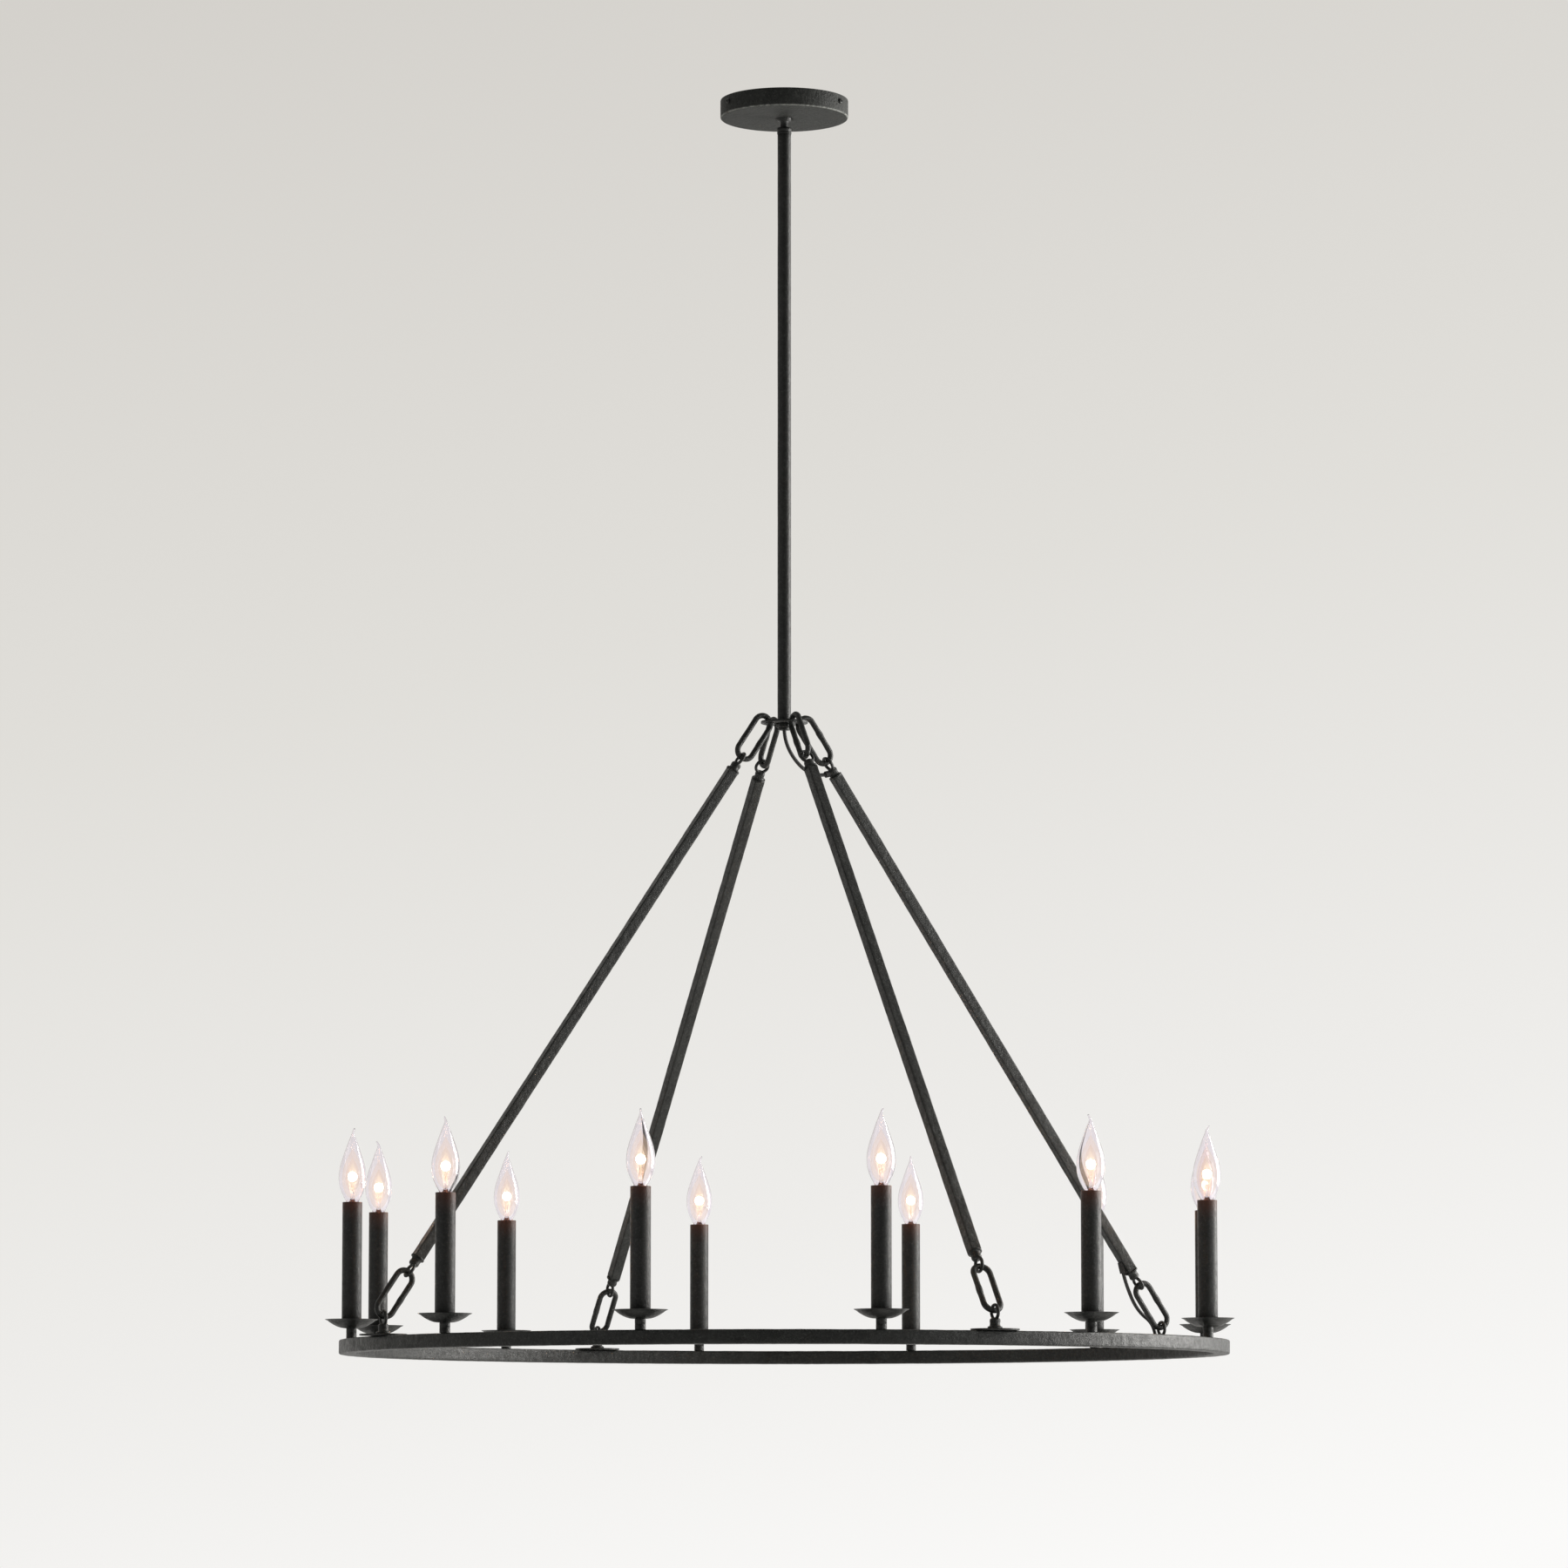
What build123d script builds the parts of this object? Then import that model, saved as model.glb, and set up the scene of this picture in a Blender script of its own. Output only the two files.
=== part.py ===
from build123d import *
import os
from math import atan2, cos, degrees, hypot, pi, radians, sin, sqrt, tan

os.makedirs("parts", exist_ok=True)

# An iron ring chandelier with twelve candle lamps. Millimetres, +Z up, origin on
# the ceiling plane at the centre of the canopy. Arm 4 lies on +X, arm 2 on +Y.

# Clearances
run_gap = 0.1
joint_gap = 0.35
touch_gap = 0.1
flex_gap = 0.05

# Canopy and mounting plate
canopy_d = 156.5
canopy_h = 22
canopy_wall = 1.2
canopy_edge_r = 1.6
canopy_hole_d = 19.4
plate_t = 2
plate_d = 108
slot_spacing = 80
slot_len = 18
slot_w = 4.8
tab_w = 14
tab_drop = 14
tab_gap = 0.7
side_screw_z = -8.5
side_screw_d = 4
side_hole_d = 4.4
side_head_d = 6.6
side_head_h = 2.4
side_screw_start = 63

# Hanging swivel: nipple, cup and ball
nipple_d = 9.5
nipple_bore = 6
nipple_flange_d = 13.2
nipple_flange_t = 1.6
nut_af = 14
nut_t = 6.5
ball_z = -21
ball_r = 7.4
cup_r = 8.9
cup_lip_r = 7.7
cup_wall_t = 2
cup_top_z = -8.9
cup_bottom_z = -25.5
cup_taper_h = 4
neck_r = 4.6

# Down rod and hub plate
rod_d = 16.6
rod_bore = 13.2
ferrule_d = 17.6
ferrule_top_z = -33.5
ferrule_h = 8
ferrule_chamfer = 1.2
spigot_h = 14
hub_top_z = -765.5
hub_t = 3
hub_d = 57
hub_hole_d = 11
hub_web = 3
hub_nut_af = 18
hub_nut_t = 5
hub_nipple_top = 15
hub_nipple_drop = 8

# Chain link, eye post and arm tube
link_wire = 7
link_inner_w = 14
link_inner_len = 54.5
eye_wire = 4
eye_inner_d = 12
eye_post_d = 12.4
eye_foot_d = 17
eye_foot_t = 2.5
eye_rise = 18.7
eye_stud_d = 6
eye_stud_len = 5
arm_side = 13.4
arm_wall = 1.6
arm_corner_r = 1.2

# Ring
ring_od = 1067
ring_w = 20
ring_h = 17
ring_wall = 1.6
ring_edge_r = 2
ring_top_z = -1514
foot_plate_d = 56
foot_plate_t = 2

# Candles, counted round the ring
candle_count = 12
candle_start = 15
stem_d = 12.4
stem_h = 12
stem_thread_d = 9.5
stem_top = 19
stem_bore = 6
stem_nut_af = 14
stem_nut_t = 3
dish_d = 60
dish_depth = 10.6
dish_t = 1.2
sleeve_d = 23.4
sleeve_wall = 1
sleeve_top = 161
socket_d = 17
socket_h = 40
socket_bore = 12.4
socket_bore_h = 21
socket_top = 158
leg_w = 8
leg_t = 1.4
leg_ring_d = 15
leg_ring_t = 2

# Flame lamp
base_r = 5.85
base_h = 19
base_tip_r = 2
base_tip_h = 2
lamp_lift = 0.3
glass_neck_r = 6.2
glass_max_r = 16.6
glass_max_h = 32
glass_tip_r = 1.9
glass_tip_h = 82
glass_wall = 0.8
tail_h = 8
tail_lean = 3.4
tail_r = 0.8
# Which way each bent tip points, round its own axis
tail_turn = (200, 65, 330, 20, 150, 285, 100, 240, 10, 175, 310, 75)

# Flex
flex_d = 4.5
bush_d = 8
bush_bore_h = 3
bush_len = 11.5

# Derived places
tab_r = canopy_d / 2 - canopy_wall - tab_gap
link_wire_r = link_wire / 2
link_arc_r = link_inner_w / 2 + link_wire_r
link_leg = link_inner_len - link_inner_w
eye_wire_r = eye_wire / 2
eye_mean_r = eye_inner_d / 2 + eye_wire_r
ring_mid_r = ring_od / 2 - ring_w / 2
web_r = hub_d / 2 - hub_web / 2
web_z = hub_top_z - hub_t / 2
foot_plate_z = ring_top_z + foot_plate_t
ring_eye_z = foot_plate_z + eye_rise
hub_hook = 4.5
ring_hook = link_inner_w / 2 - eye_wire_r - joint_gap
eye_hook = link_inner_w / 2 - eye_wire_r - touch_gap
candle_angles = [candle_start + 30 * n for n in range(candle_count)]


def radial_plane(angle, r, z):
    # Plane at radius r facing outwards, its x axis level
    c, s = cos(radians(angle)), sin(radians(angle))
    return Plane(origin=(r * c, r * s, z), x_dir=(-s, c, 0), z_dir=(c, s, 0))


def arm_lean(cross_eye):
    # Lean from the vertical and length of an arm between its two pivots
    lean = radians(34)
    for _ in range(30):
        end_r = ring_mid_r - (eye_mean_r * sin(lean) if cross_eye else 0)
        end_z = ring_eye_z + eye_mean_r * (cos(lean) if cross_eye else 1)
        lean = atan2(end_r - web_r, web_z - end_z)
    return lean, hypot(end_r - web_r, web_z - end_z)


def arm_plane(angle, lean, along, turned=False):
    # Plane across an arm at a distance from its hub pivot, z down the arm,
    # x level across the arm, or in the arm's own upright plane when turned
    c, s = cos(radians(angle)), sin(radians(angle))
    down = (sin(lean) * c, sin(lean) * s, -cos(lean))
    level = (-s, c, 0)
    upright = (cos(lean) * c, cos(lean) * s, sin(lean))
    start = (web_r * c, web_r * s, web_z)
    origin = tuple(p + along * d for p, d in zip(start, down))
    return Plane(origin=origin, x_dir=upright if turned else level, z_dir=down)


# Mounting plate: disc with two slots for the ceiling box and three tabs that
# drop inside the canopy wall for its side screws
with BuildPart() as mounting_plate:
    with BuildSketch(Plane.XY.offset(-plate_t)):
        Circle(plate_d / 2)
        with PolarLocations((plate_d / 2 + tab_r) / 2 - 3, 3, start_angle=side_screw_start):
            Rectangle(tab_r - plate_d / 2 + 6, tab_w)
        Circle(nipple_d / 2, mode=Mode.SUBTRACT)
        with Locations((slot_spacing / 2, 0), (-slot_spacing / 2, 0)):
            SlotOverall(slot_len, slot_w, mode=Mode.SUBTRACT)
    extrude(amount=plate_t)
    with BuildSketch(Plane.XY.offset(-tab_drop)):
        with PolarLocations(tab_r - plate_t / 2, 3, start_angle=side_screw_start):
            Rectangle(plate_t, tab_w)
    extrude(amount=tab_drop)
    for n in range(3):
        with Locations(radial_plane(side_screw_start + 120 * n, tab_r, side_screw_z)):
            Cylinder(side_screw_d / 2, 8, mode=Mode.SUBTRACT)
mounting_plate.part.label = "mounting_plate"
export_step(mounting_plate.part, "parts/mounting_plate.step")

# Threaded nipple: screwed flush into the plate, its flange carries the cup
flange_top_z = cup_top_z - cup_wall_t - joint_gap
with BuildPart() as nipple:
    with BuildSketch(Plane.XZ):
        with BuildLine():
            Polyline(
                (nipple_bore / 2, 0),
                (nipple_d / 2, 0),
                (nipple_d / 2, flange_top_z),
                (nipple_flange_d / 2, flange_top_z),
                (nipple_flange_d / 2, flange_top_z - nipple_flange_t),
                (nipple_bore / 2, flange_top_z - nipple_flange_t),
                close=True,
            )
        make_face()
    revolve(axis=Axis.Z)
nipple.part.label = "nipple"
export_step(nipple.part, "parts/nipple.step")

# Lock nut under the mounting plate
with BuildPart() as nipple_nut:
    with BuildSketch(Plane.XY.offset(-plate_t - nut_t)):
        RegularPolygon(nut_af / 2, 6, major_radius=False)
        Circle(nipple_d / 2, mode=Mode.SUBTRACT)
    extrude(amount=nut_t)
nipple_nut.part.label = "nipple_nut"
export_step(nipple_nut.part, "parts/nipple_nut.step")

# Canopy: spun shell with a rounded lower edge
with BuildPart() as canopy:
    with BuildSketch(Plane.XZ):
        with BuildLine():
            outer_low = (canopy_d / 2 - canopy_edge_r, -canopy_h)
            outer_side = (canopy_d / 2, -canopy_h + canopy_edge_r)
            inner_r = canopy_edge_r - canopy_wall
            Line((canopy_hole_d / 2, -canopy_h), outer_low)
            TangentArc(outer_low, outer_side, tangent=(1, 0))
            Line(outer_side, (canopy_d / 2, 0))
            Line((canopy_d / 2, 0), (canopy_d / 2 - canopy_wall, 0))
            inner_side = (canopy_d / 2 - canopy_wall, -canopy_h + canopy_edge_r)
            inner_low = (canopy_d / 2 - canopy_edge_r, -canopy_h + canopy_wall)
            Line((canopy_d / 2 - canopy_wall, 0), inner_side)
            TangentArc(inner_side, inner_low, tangent=(0, -1))
            Line(inner_low, (canopy_hole_d / 2, -canopy_h + canopy_wall))
            Line((canopy_hole_d / 2, -canopy_h + canopy_wall), (canopy_hole_d / 2, -canopy_h))
        make_face()
    revolve(axis=Axis.Z)
    for n in range(3):
        with Locations(radial_plane(side_screw_start + 120 * n, canopy_d / 2, side_screw_z)):
            Cylinder(side_hole_d / 2, 8, mode=Mode.SUBTRACT)
canopy.part.label = "canopy"
export_step(canopy.part, "parts/canopy.step")

# Canopy side screws: round heads outside the wall, shanks in the tabs
with BuildPart() as canopy_screws:
    for n in range(3):
        seat = radial_plane(side_screw_start + 120 * n, canopy_d / 2, side_screw_z)
        with BuildSketch(seat):
            Circle(side_head_d / 2)
        extrude(amount=side_head_h, taper=18)
        with BuildSketch(seat):
            Circle(side_screw_d / 2)
        extrude(amount=-(canopy_d / 2 - tab_r + plate_t + 1.5))
canopy_screws.part.label = "canopy_screws"
export_step(canopy_screws.part, "parts/canopy_screws.step")

# Swivel cup: turns on the nipple and holds the ball
cup_bore_r = ball_r + joint_gap
lip_bore_r = sqrt(cup_bore_r**2 - (ball_z - cup_bottom_z) ** 2)
with BuildPart() as swivel_cup:
    with BuildSketch(Plane.XZ):
        with BuildLine():
            top_in = (nipple_d / 2 + run_gap, cup_top_z)
            Line(top_in, (cup_r, cup_top_z))
            Line((cup_r, cup_top_z), (cup_r, cup_bottom_z + cup_taper_h))
            Line((cup_r, cup_bottom_z + cup_taper_h), (cup_lip_r, cup_bottom_z))
            Line((cup_lip_r, cup_bottom_z), (lip_bore_r, cup_bottom_z))
            mid = -radians(18)
            ThreePointArc(
                (lip_bore_r, cup_bottom_z),
                (cup_bore_r * cos(mid), ball_z + cup_bore_r * sin(mid)),
                (cup_bore_r, ball_z),
            )
            Line((cup_bore_r, ball_z), (cup_bore_r, cup_top_z - cup_wall_t))
            Line((cup_bore_r, cup_top_z - cup_wall_t), (top_in[0], cup_top_z - cup_wall_t))
            Line((top_in[0], cup_top_z - cup_wall_t), top_in)
        make_face()
    revolve(axis=Axis.Z)
swivel_cup.part.label = "swivel_cup"
export_step(swivel_cup.part, "parts/swivel_cup.step")

# Stem neck: ball, neck, ferrule and the spigot that fits the rod's bore
neck_z = ball_z - sqrt(ball_r**2 - neck_r**2)
rod_top_z = ferrule_top_z - ferrule_h
with BuildPart() as stem_neck:
    with BuildSketch(Plane.XZ):
        with BuildLine():
            ThreePointArc((0, ball_z + ball_r), (ball_r, ball_z), (neck_r, neck_z))
            Line((neck_r, neck_z), (neck_r, ferrule_top_z))
            Polyline(
                (neck_r, ferrule_top_z),
                (ferrule_d / 2 - ferrule_chamfer, ferrule_top_z),
                (ferrule_d / 2, ferrule_top_z - ferrule_chamfer),
                (ferrule_d / 2, rod_top_z),
                (rod_bore / 2, rod_top_z),
                (rod_bore / 2, rod_top_z - spigot_h),
                (0, rod_top_z - spigot_h),
                (0, ball_z + ball_r),
            )
        make_face()
    revolve(axis=Axis.Z)
stem_neck.part.label = "stem_neck"
export_step(stem_neck.part, "parts/stem_neck.step")

# Down rod: plain tube standing on the hub plate
with BuildPart() as rod:
    with BuildSketch(Plane.XY.offset(hub_top_z)):
        Circle(rod_d / 2)
        Circle(rod_bore / 2, mode=Mode.SUBTRACT)
    extrude(amount=rod_top_z - hub_top_z)
rod.part.label = "rod"
export_step(rod.part, "parts/rod.step")

# Hub plate: disc with four holes close to its rim, one narrow web each
with BuildPart() as hub_plate:
    with BuildSketch(Plane.XY.offset(hub_top_z - hub_t)):
        Circle(hub_d / 2)
        Circle(rod_bore / 2, mode=Mode.SUBTRACT)
        with PolarLocations(hub_d / 2 - hub_web - hub_hole_d / 2, 4):
            Circle(hub_hole_d / 2, mode=Mode.SUBTRACT)
    extrude(amount=hub_t)
hub_plate.part.label = "hub_plate"
export_step(hub_plate.part, "parts/hub_plate.step")

# Hollow nipple in the rod's lower end; the flex leaves through its bore
hub_nipple_z = hub_top_z - hub_t - hub_nipple_drop
with BuildPart() as hub_nipple:
    with BuildSketch(Plane.XY.offset(hub_nipple_z)):
        Circle(rod_bore / 2)
        Circle(flex_d / 2 + flex_gap, mode=Mode.SUBTRACT)
    extrude(amount=hub_nipple_top + hub_t + hub_nipple_drop)
hub_nipple.part.label = "hub_nipple"
export_step(hub_nipple.part, "parts/hub_nipple.step")

# Nut that clamps the hub plate against the rod
with BuildPart() as hub_nut:
    with BuildSketch(Plane.XY.offset(hub_top_z - hub_t - hub_nut_t)):
        RegularPolygon(hub_nut_af / 2, 6, major_radius=False)
        Circle(rod_bore / 2, mode=Mode.SUBTRACT)
    extrude(amount=hub_nut_t)
hub_nut.part.label = "hub_nut"
export_step(hub_nut.part, "parts/hub_nut.step")

# One chain link: round wire on an oval path, its plane x-z, upper arc at the origin
with BuildPart() as link:
    with BuildSketch(Plane.XY):
        with Locations((-link_arc_r, 0), (link_arc_r, 0)):
            Circle(link_wire_r)
    extrude(amount=link_leg)
    with BuildSketch(Plane.XY):
        with Locations((link_arc_r, 0)):
            Circle(link_wire_r)
    revolve(axis=Axis((0, 0, 0), (0, 1, 0)), revolution_arc=180)
    with BuildSketch(Plane.XY.offset(link_leg)):
        with Locations((link_arc_r, 0)):
            Circle(link_wire_r)
    revolve(axis=Axis((0, 0, link_leg), (0, -1, 0)), revolution_arc=180)

# One eye post: ring in the x-z plane, round post and flared foot below it
with BuildPart() as eye_post:
    Torus(eye_mean_r, eye_wire_r, rotation=(90, 0, 0))
    with BuildSketch(Plane.XY.offset(-eye_rise)):
        Circle(eye_foot_d / 2)
    extrude(amount=eye_foot_t)
    with BuildSketch(Plane.XY.offset(-eye_rise + eye_foot_t)):
        Circle(eye_post_d / 2)
    extrude(amount=eye_rise - eye_foot_t - eye_inner_d / 2 - 0.6)

# Four arms: two links, a square tube and an eye post on each end of the tube.
# Arms 1 and 4 hang their lower links upright; 2 and 3 hang them level.
arm_angle = {1: 180, 2: 90, 3: 270, 4: 0}
level_below = {1: False, 2: True, 3: True, 4: False}
arm_frame = {}
for k in arm_angle:
    lean, reach = arm_lean(level_below[k])
    top_eye = hub_hook + link_leg + eye_hook + eye_mean_r
    low_arc = reach - ring_hook - link_leg
    low_eye = low_arc - eye_hook - eye_mean_r
    tube_top = top_eye + eye_rise
    tube_low = low_eye - eye_rise
    arm_frame[k] = (lean, reach, top_eye, tube_top, low_eye, tube_low)

    with BuildPart() as chain_links:
        with Locations(arm_plane(arm_angle[k], lean, hub_hook, turned=True)):
            add(link.part)
        with Locations(arm_plane(arm_angle[k], lean, low_arc, turned=not level_below[k])):
            add(link.part)
    chain_links.part.label = f"chain_links_{k}"
    export_step(chain_links.part, f"parts/chain_links_{k}.step")

    with BuildPart() as arm_tube:
        with BuildSketch(arm_plane(arm_angle[k], lean, tube_top)):
            RectangleRounded(arm_side, arm_side, arm_corner_r)
            Rectangle(arm_side - 2 * arm_wall, arm_side - 2 * arm_wall, mode=Mode.SUBTRACT)
        extrude(amount=tube_low - tube_top)
    arm_tube.part.label = f"arm_tube_{k}"
    export_step(arm_tube.part, f"parts/arm_tube_{k}.step")

    with BuildPart() as arm_eyes:
        upper = arm_plane(arm_angle[k], lean, top_eye)
        lower = arm_plane(arm_angle[k], lean, low_eye, turned=level_below[k])
        with Locations(Plane(origin=upper.origin, x_dir=upper.x_dir, z_dir=-upper.z_dir)):
            add(eye_post.part)
        with Locations(lower):
            add(eye_post.part)
    arm_eyes.part.label = f"arm_eyes_{k}"
    export_step(arm_eyes.part, f"parts/arm_eyes_{k}.step")

# Ring: rolled rectangular tube with softened edges, drilled for stems and posts
with BuildPart() as ring:
    with BuildSketch(Plane.XZ):
        with Locations((ring_mid_r, ring_top_z - ring_h / 2)):
            RectangleRounded(ring_w, ring_h, ring_edge_r)
            Rectangle(ring_w - 2 * ring_wall, ring_h - 2 * ring_wall, mode=Mode.SUBTRACT)
    revolve(axis=Axis.Z)
    with BuildSketch(Plane.XY.offset(ring_top_z)):
        with PolarLocations(ring_mid_r, candle_count, start_angle=candle_start):
            Circle(stem_thread_d / 2)
        with PolarLocations(ring_mid_r, 4):
            Circle(eye_stud_d / 2)
    extrude(amount=-ring_wall - 1, mode=Mode.SUBTRACT)
ring.part.label = "ring"
export_step(ring.part, "parts/ring.step")

# Thin round plates between the ring and its eye posts
with BuildPart() as foot_plates:
    with BuildSketch(Plane.XY.offset(ring_top_z)):
        with PolarLocations(ring_mid_r, 4):
            Circle(foot_plate_d / 2)
            Circle(eye_stud_d / 2, mode=Mode.SUBTRACT)
    extrude(amount=foot_plate_t)
foot_plates.part.label = "foot_plates"
export_step(foot_plates.part, "parts/foot_plates.step")

# Eye posts on the ring, each with a stud through its plate and the ring's top wall
with BuildPart() as ring_eyes:
    for k in arm_angle:
        turn = arm_angle[k] + (0 if level_below[k] else 90)
        c, s = cos(radians(arm_angle[k])), sin(radians(arm_angle[k]))
        with Locations(Location((ring_mid_r * c, ring_mid_r * s, ring_eye_z), (0, 0, turn))):
            add(eye_post.part)
    with BuildSketch(Plane.XY.offset(foot_plate_z)):
        with PolarLocations(ring_mid_r, 4):
            Circle(eye_stud_d / 2)
    extrude(amount=-eye_stud_len)
ring_eyes.part.label = "ring_eyes"
export_step(ring_eyes.part, "parts/ring_eyes.step")

# Candle stems: threaded below into the ring, a plain collar, threaded above
with BuildPart() as candle_stems:
    with BuildSketch(Plane.XY.offset(ring_top_z - ring_wall - stem_nut_t)):
        with PolarLocations(ring_mid_r, candle_count, start_angle=candle_start):
            Circle(stem_thread_d / 2)
    extrude(amount=ring_wall + stem_nut_t + stem_top)
    with BuildSketch(Plane.XY.offset(ring_top_z)):
        with PolarLocations(ring_mid_r, candle_count, start_angle=candle_start):
            Circle(stem_d / 2)
    extrude(amount=stem_h)
    with BuildSketch(Plane.XY.offset(ring_top_z + stem_top)):
        with PolarLocations(ring_mid_r, candle_count, start_angle=candle_start):
            Circle(stem_bore / 2)
    extrude(amount=-(ring_wall + stem_nut_t + stem_top), mode=Mode.SUBTRACT)
candle_stems.part.label = "candle_stems"
export_step(candle_stems.part, "parts/candle_stems.step")

# Nuts under the ring's top wall
with BuildPart() as stem_nuts:
    with BuildSketch(Plane.XY.offset(ring_top_z - ring_wall - stem_nut_t)):
        with PolarLocations(ring_mid_r, candle_count, start_angle=candle_start):
            RegularPolygon(stem_nut_af / 2, 6, major_radius=False)
            Circle(stem_thread_d / 2, mode=Mode.SUBTRACT)
    extrude(amount=stem_nut_t)
stem_nuts.part.label = "stem_nuts"
export_step(stem_nuts.part, "parts/stem_nuts.step")

# One drip dish: flat seat on the stem, then a shallow bowl up to a thin rim
dish_seat_r = sleeve_d / 2 + 0.5
dish_r = dish_d / 2
with BuildPart() as dish:
    with BuildSketch(Plane.XZ):
        with BuildLine():
            Line((stem_thread_d / 2, 0), (dish_seat_r, 0))
            ThreePointArc((dish_seat_r, 0), (0.74 * dish_r, 0.4 * dish_depth), (dish_r, dish_depth))
            Line((dish_r, dish_depth), (dish_r - dish_t, dish_depth))
            ThreePointArc(
                (dish_r - dish_t, dish_depth),
                (0.74 * dish_r - 0.55 * dish_t, 0.4 * dish_depth + 0.85 * dish_t),
                (dish_seat_r, dish_t),
            )
            Line((dish_seat_r, dish_t), (stem_thread_d / 2, dish_t))
            Line((stem_thread_d / 2, dish_t), (stem_thread_d / 2, 0))
        make_face()
    revolve(axis=Axis.Z)

with BuildPart() as drip_dishes:
    with Locations((0, 0, ring_top_z + stem_h)):
        with PolarLocations(ring_mid_r, candle_count, start_angle=candle_start):
            add(dish.part)
drip_dishes.part.label = "drip_dishes"
export_step(drip_dishes.part, "parts/drip_dishes.step")

# Candle sleeves: plain tubes standing in the dishes
sleeve_foot = stem_h + dish_t
with BuildPart() as sleeves:
    with BuildSketch(Plane.XY.offset(ring_top_z + sleeve_foot)):
        with PolarLocations(ring_mid_r, candle_count, start_angle=candle_start):
            Circle(sleeve_d / 2)
            Circle(sleeve_d / 2 - sleeve_wall, mode=Mode.SUBTRACT)
    extrude(amount=sleeve_top - sleeve_foot)
sleeves.part.label = "sleeves"
export_step(sleeves.part, "parts/sleeves.step")

# Lamp sockets: foot ring on the stem, strap leg, cup bored for the lamp base
with BuildPart() as sockets:
    with BuildSketch(Plane.XY.offset(ring_top_z + sleeve_foot)):
        with PolarLocations(ring_mid_r, candle_count, start_angle=candle_start):
            Circle(leg_ring_d / 2)
            Circle(stem_thread_d / 2, mode=Mode.SUBTRACT)
    extrude(amount=leg_ring_t)
    with BuildSketch(Plane.XY.offset(ring_top_z + sleeve_foot)):
        with PolarLocations(ring_mid_r, candle_count, start_angle=candle_start):
            with Locations((leg_ring_d / 2 - leg_t, 0)):
                Rectangle(leg_t, leg_w)
    extrude(amount=socket_top - socket_h - sleeve_foot)
    with BuildSketch(Plane.XY.offset(ring_top_z + socket_top - socket_h)):
        with PolarLocations(ring_mid_r, candle_count, start_angle=candle_start):
            Circle(socket_d / 2)
    extrude(amount=socket_h)
    with BuildSketch(Plane.XY.offset(ring_top_z + socket_top)):
        with PolarLocations(ring_mid_r, candle_count, start_angle=candle_start):
            Circle(socket_bore / 2)
    extrude(amount=-socket_bore_h, mode=Mode.SUBTRACT)
sockets.part.label = "sockets"
export_step(sockets.part, "parts/sockets.step")

# One lamp base: screw shell and contact, its top at the origin
with BuildPart() as lamp_base:
    with BuildSketch(Plane.XY.offset(-base_h)):
        Circle(base_r)
    extrude(amount=base_h)
    with BuildSketch(Plane.XY.offset(-base_h - base_tip_h + lamp_lift)):
        Circle(base_tip_r)
    extrude(amount=base_tip_h - lamp_lift)

# One flame glass: hollow blown body with a thin bent tail
with BuildPart() as lamp_glass:
    with BuildSketch(Plane.XZ):
        with BuildLine():
            Line((0, 0), (glass_neck_r, 0))
            Spline(
                (glass_neck_r, 0),
                (0.73 * glass_max_r, 0.36 * glass_max_h),
                (glass_max_r, glass_max_h),
                (0.8 * glass_max_r, 0.64 * glass_tip_h),
                (0.41 * glass_max_r, 0.88 * glass_tip_h),
                (glass_tip_r, glass_tip_h),
            )
            Line((glass_tip_r, glass_tip_h), (0, glass_tip_h))
            Line((0, glass_tip_h), (0, 0))
        make_face()
    revolve(axis=Axis.Z)
    with BuildSketch(Plane.XZ):
        with BuildLine():
            Line((0, glass_wall), (glass_neck_r - glass_wall, glass_wall))
            Spline(
                (glass_neck_r - glass_wall, glass_wall),
                (0.73 * glass_max_r - glass_wall, 0.38 * glass_max_h),
                (glass_max_r - glass_wall, glass_max_h),
                (0.8 * glass_max_r - glass_wall, 0.63 * glass_tip_h),
                (0.41 * glass_max_r - 1.2 * glass_wall, 0.865 * glass_tip_h),
                (0, 0.97 * glass_tip_h),
            )
            Line((0, 0.97 * glass_tip_h), (0, glass_wall))
        make_face()
    revolve(axis=Axis.Z, mode=Mode.SUBTRACT)
    with BuildSketch(Plane((0, 0, glass_tip_h))):
        Circle(glass_tip_r)
    with BuildSketch(Plane((0.28 * tail_lean, 0, glass_tip_h + 0.55 * tail_h), z_dir=(0.4, 0, 1))):
        Circle((glass_tip_r + tail_r) / 2)
    with BuildSketch(Plane((tail_lean, 0, glass_tip_h + tail_h), z_dir=(0.8, 0, 1))):
        Circle(tail_r)
    loft()

# Twelve lamps, each a base and a glass with its own tip direction
lamp_z = ring_top_z + socket_top + lamp_lift
for n, angle in enumerate(candle_angles):
    x, y = ring_mid_r * cos(radians(angle)), ring_mid_r * sin(radians(angle))
    with BuildPart() as base:
        with Locations((x, y, lamp_z)):
            add(lamp_base.part)
    base.part.label = f"lamp_base_{n + 1}"
    export_step(base.part, f"parts/lamp_base_{n + 1}.step")
    with BuildPart() as glass:
        with Locations(Location((x, y, lamp_z), (0, 0, tail_turn[n]))):
            add(lamp_glass.part)
    glass.part.label = f"lamp_glass_{n + 1}"
    export_step(glass.part, f"parts/lamp_glass_{n + 1}.step")

# The flex: from the hub to arm 4, and from arm 4's lower end to the ring
lean, reach, top_eye, tube_top, low_eye, tube_low = arm_frame[4]


def arm_point(along, inward, side=0):
    # Point of arm 4 by distance from its hub pivot and offset towards its underside
    x = web_r + along * sin(lean) - inward * cos(lean)
    z = web_z - along * cos(lean) - inward * sin(lean)
    return Vector(x, side, z)


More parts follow.
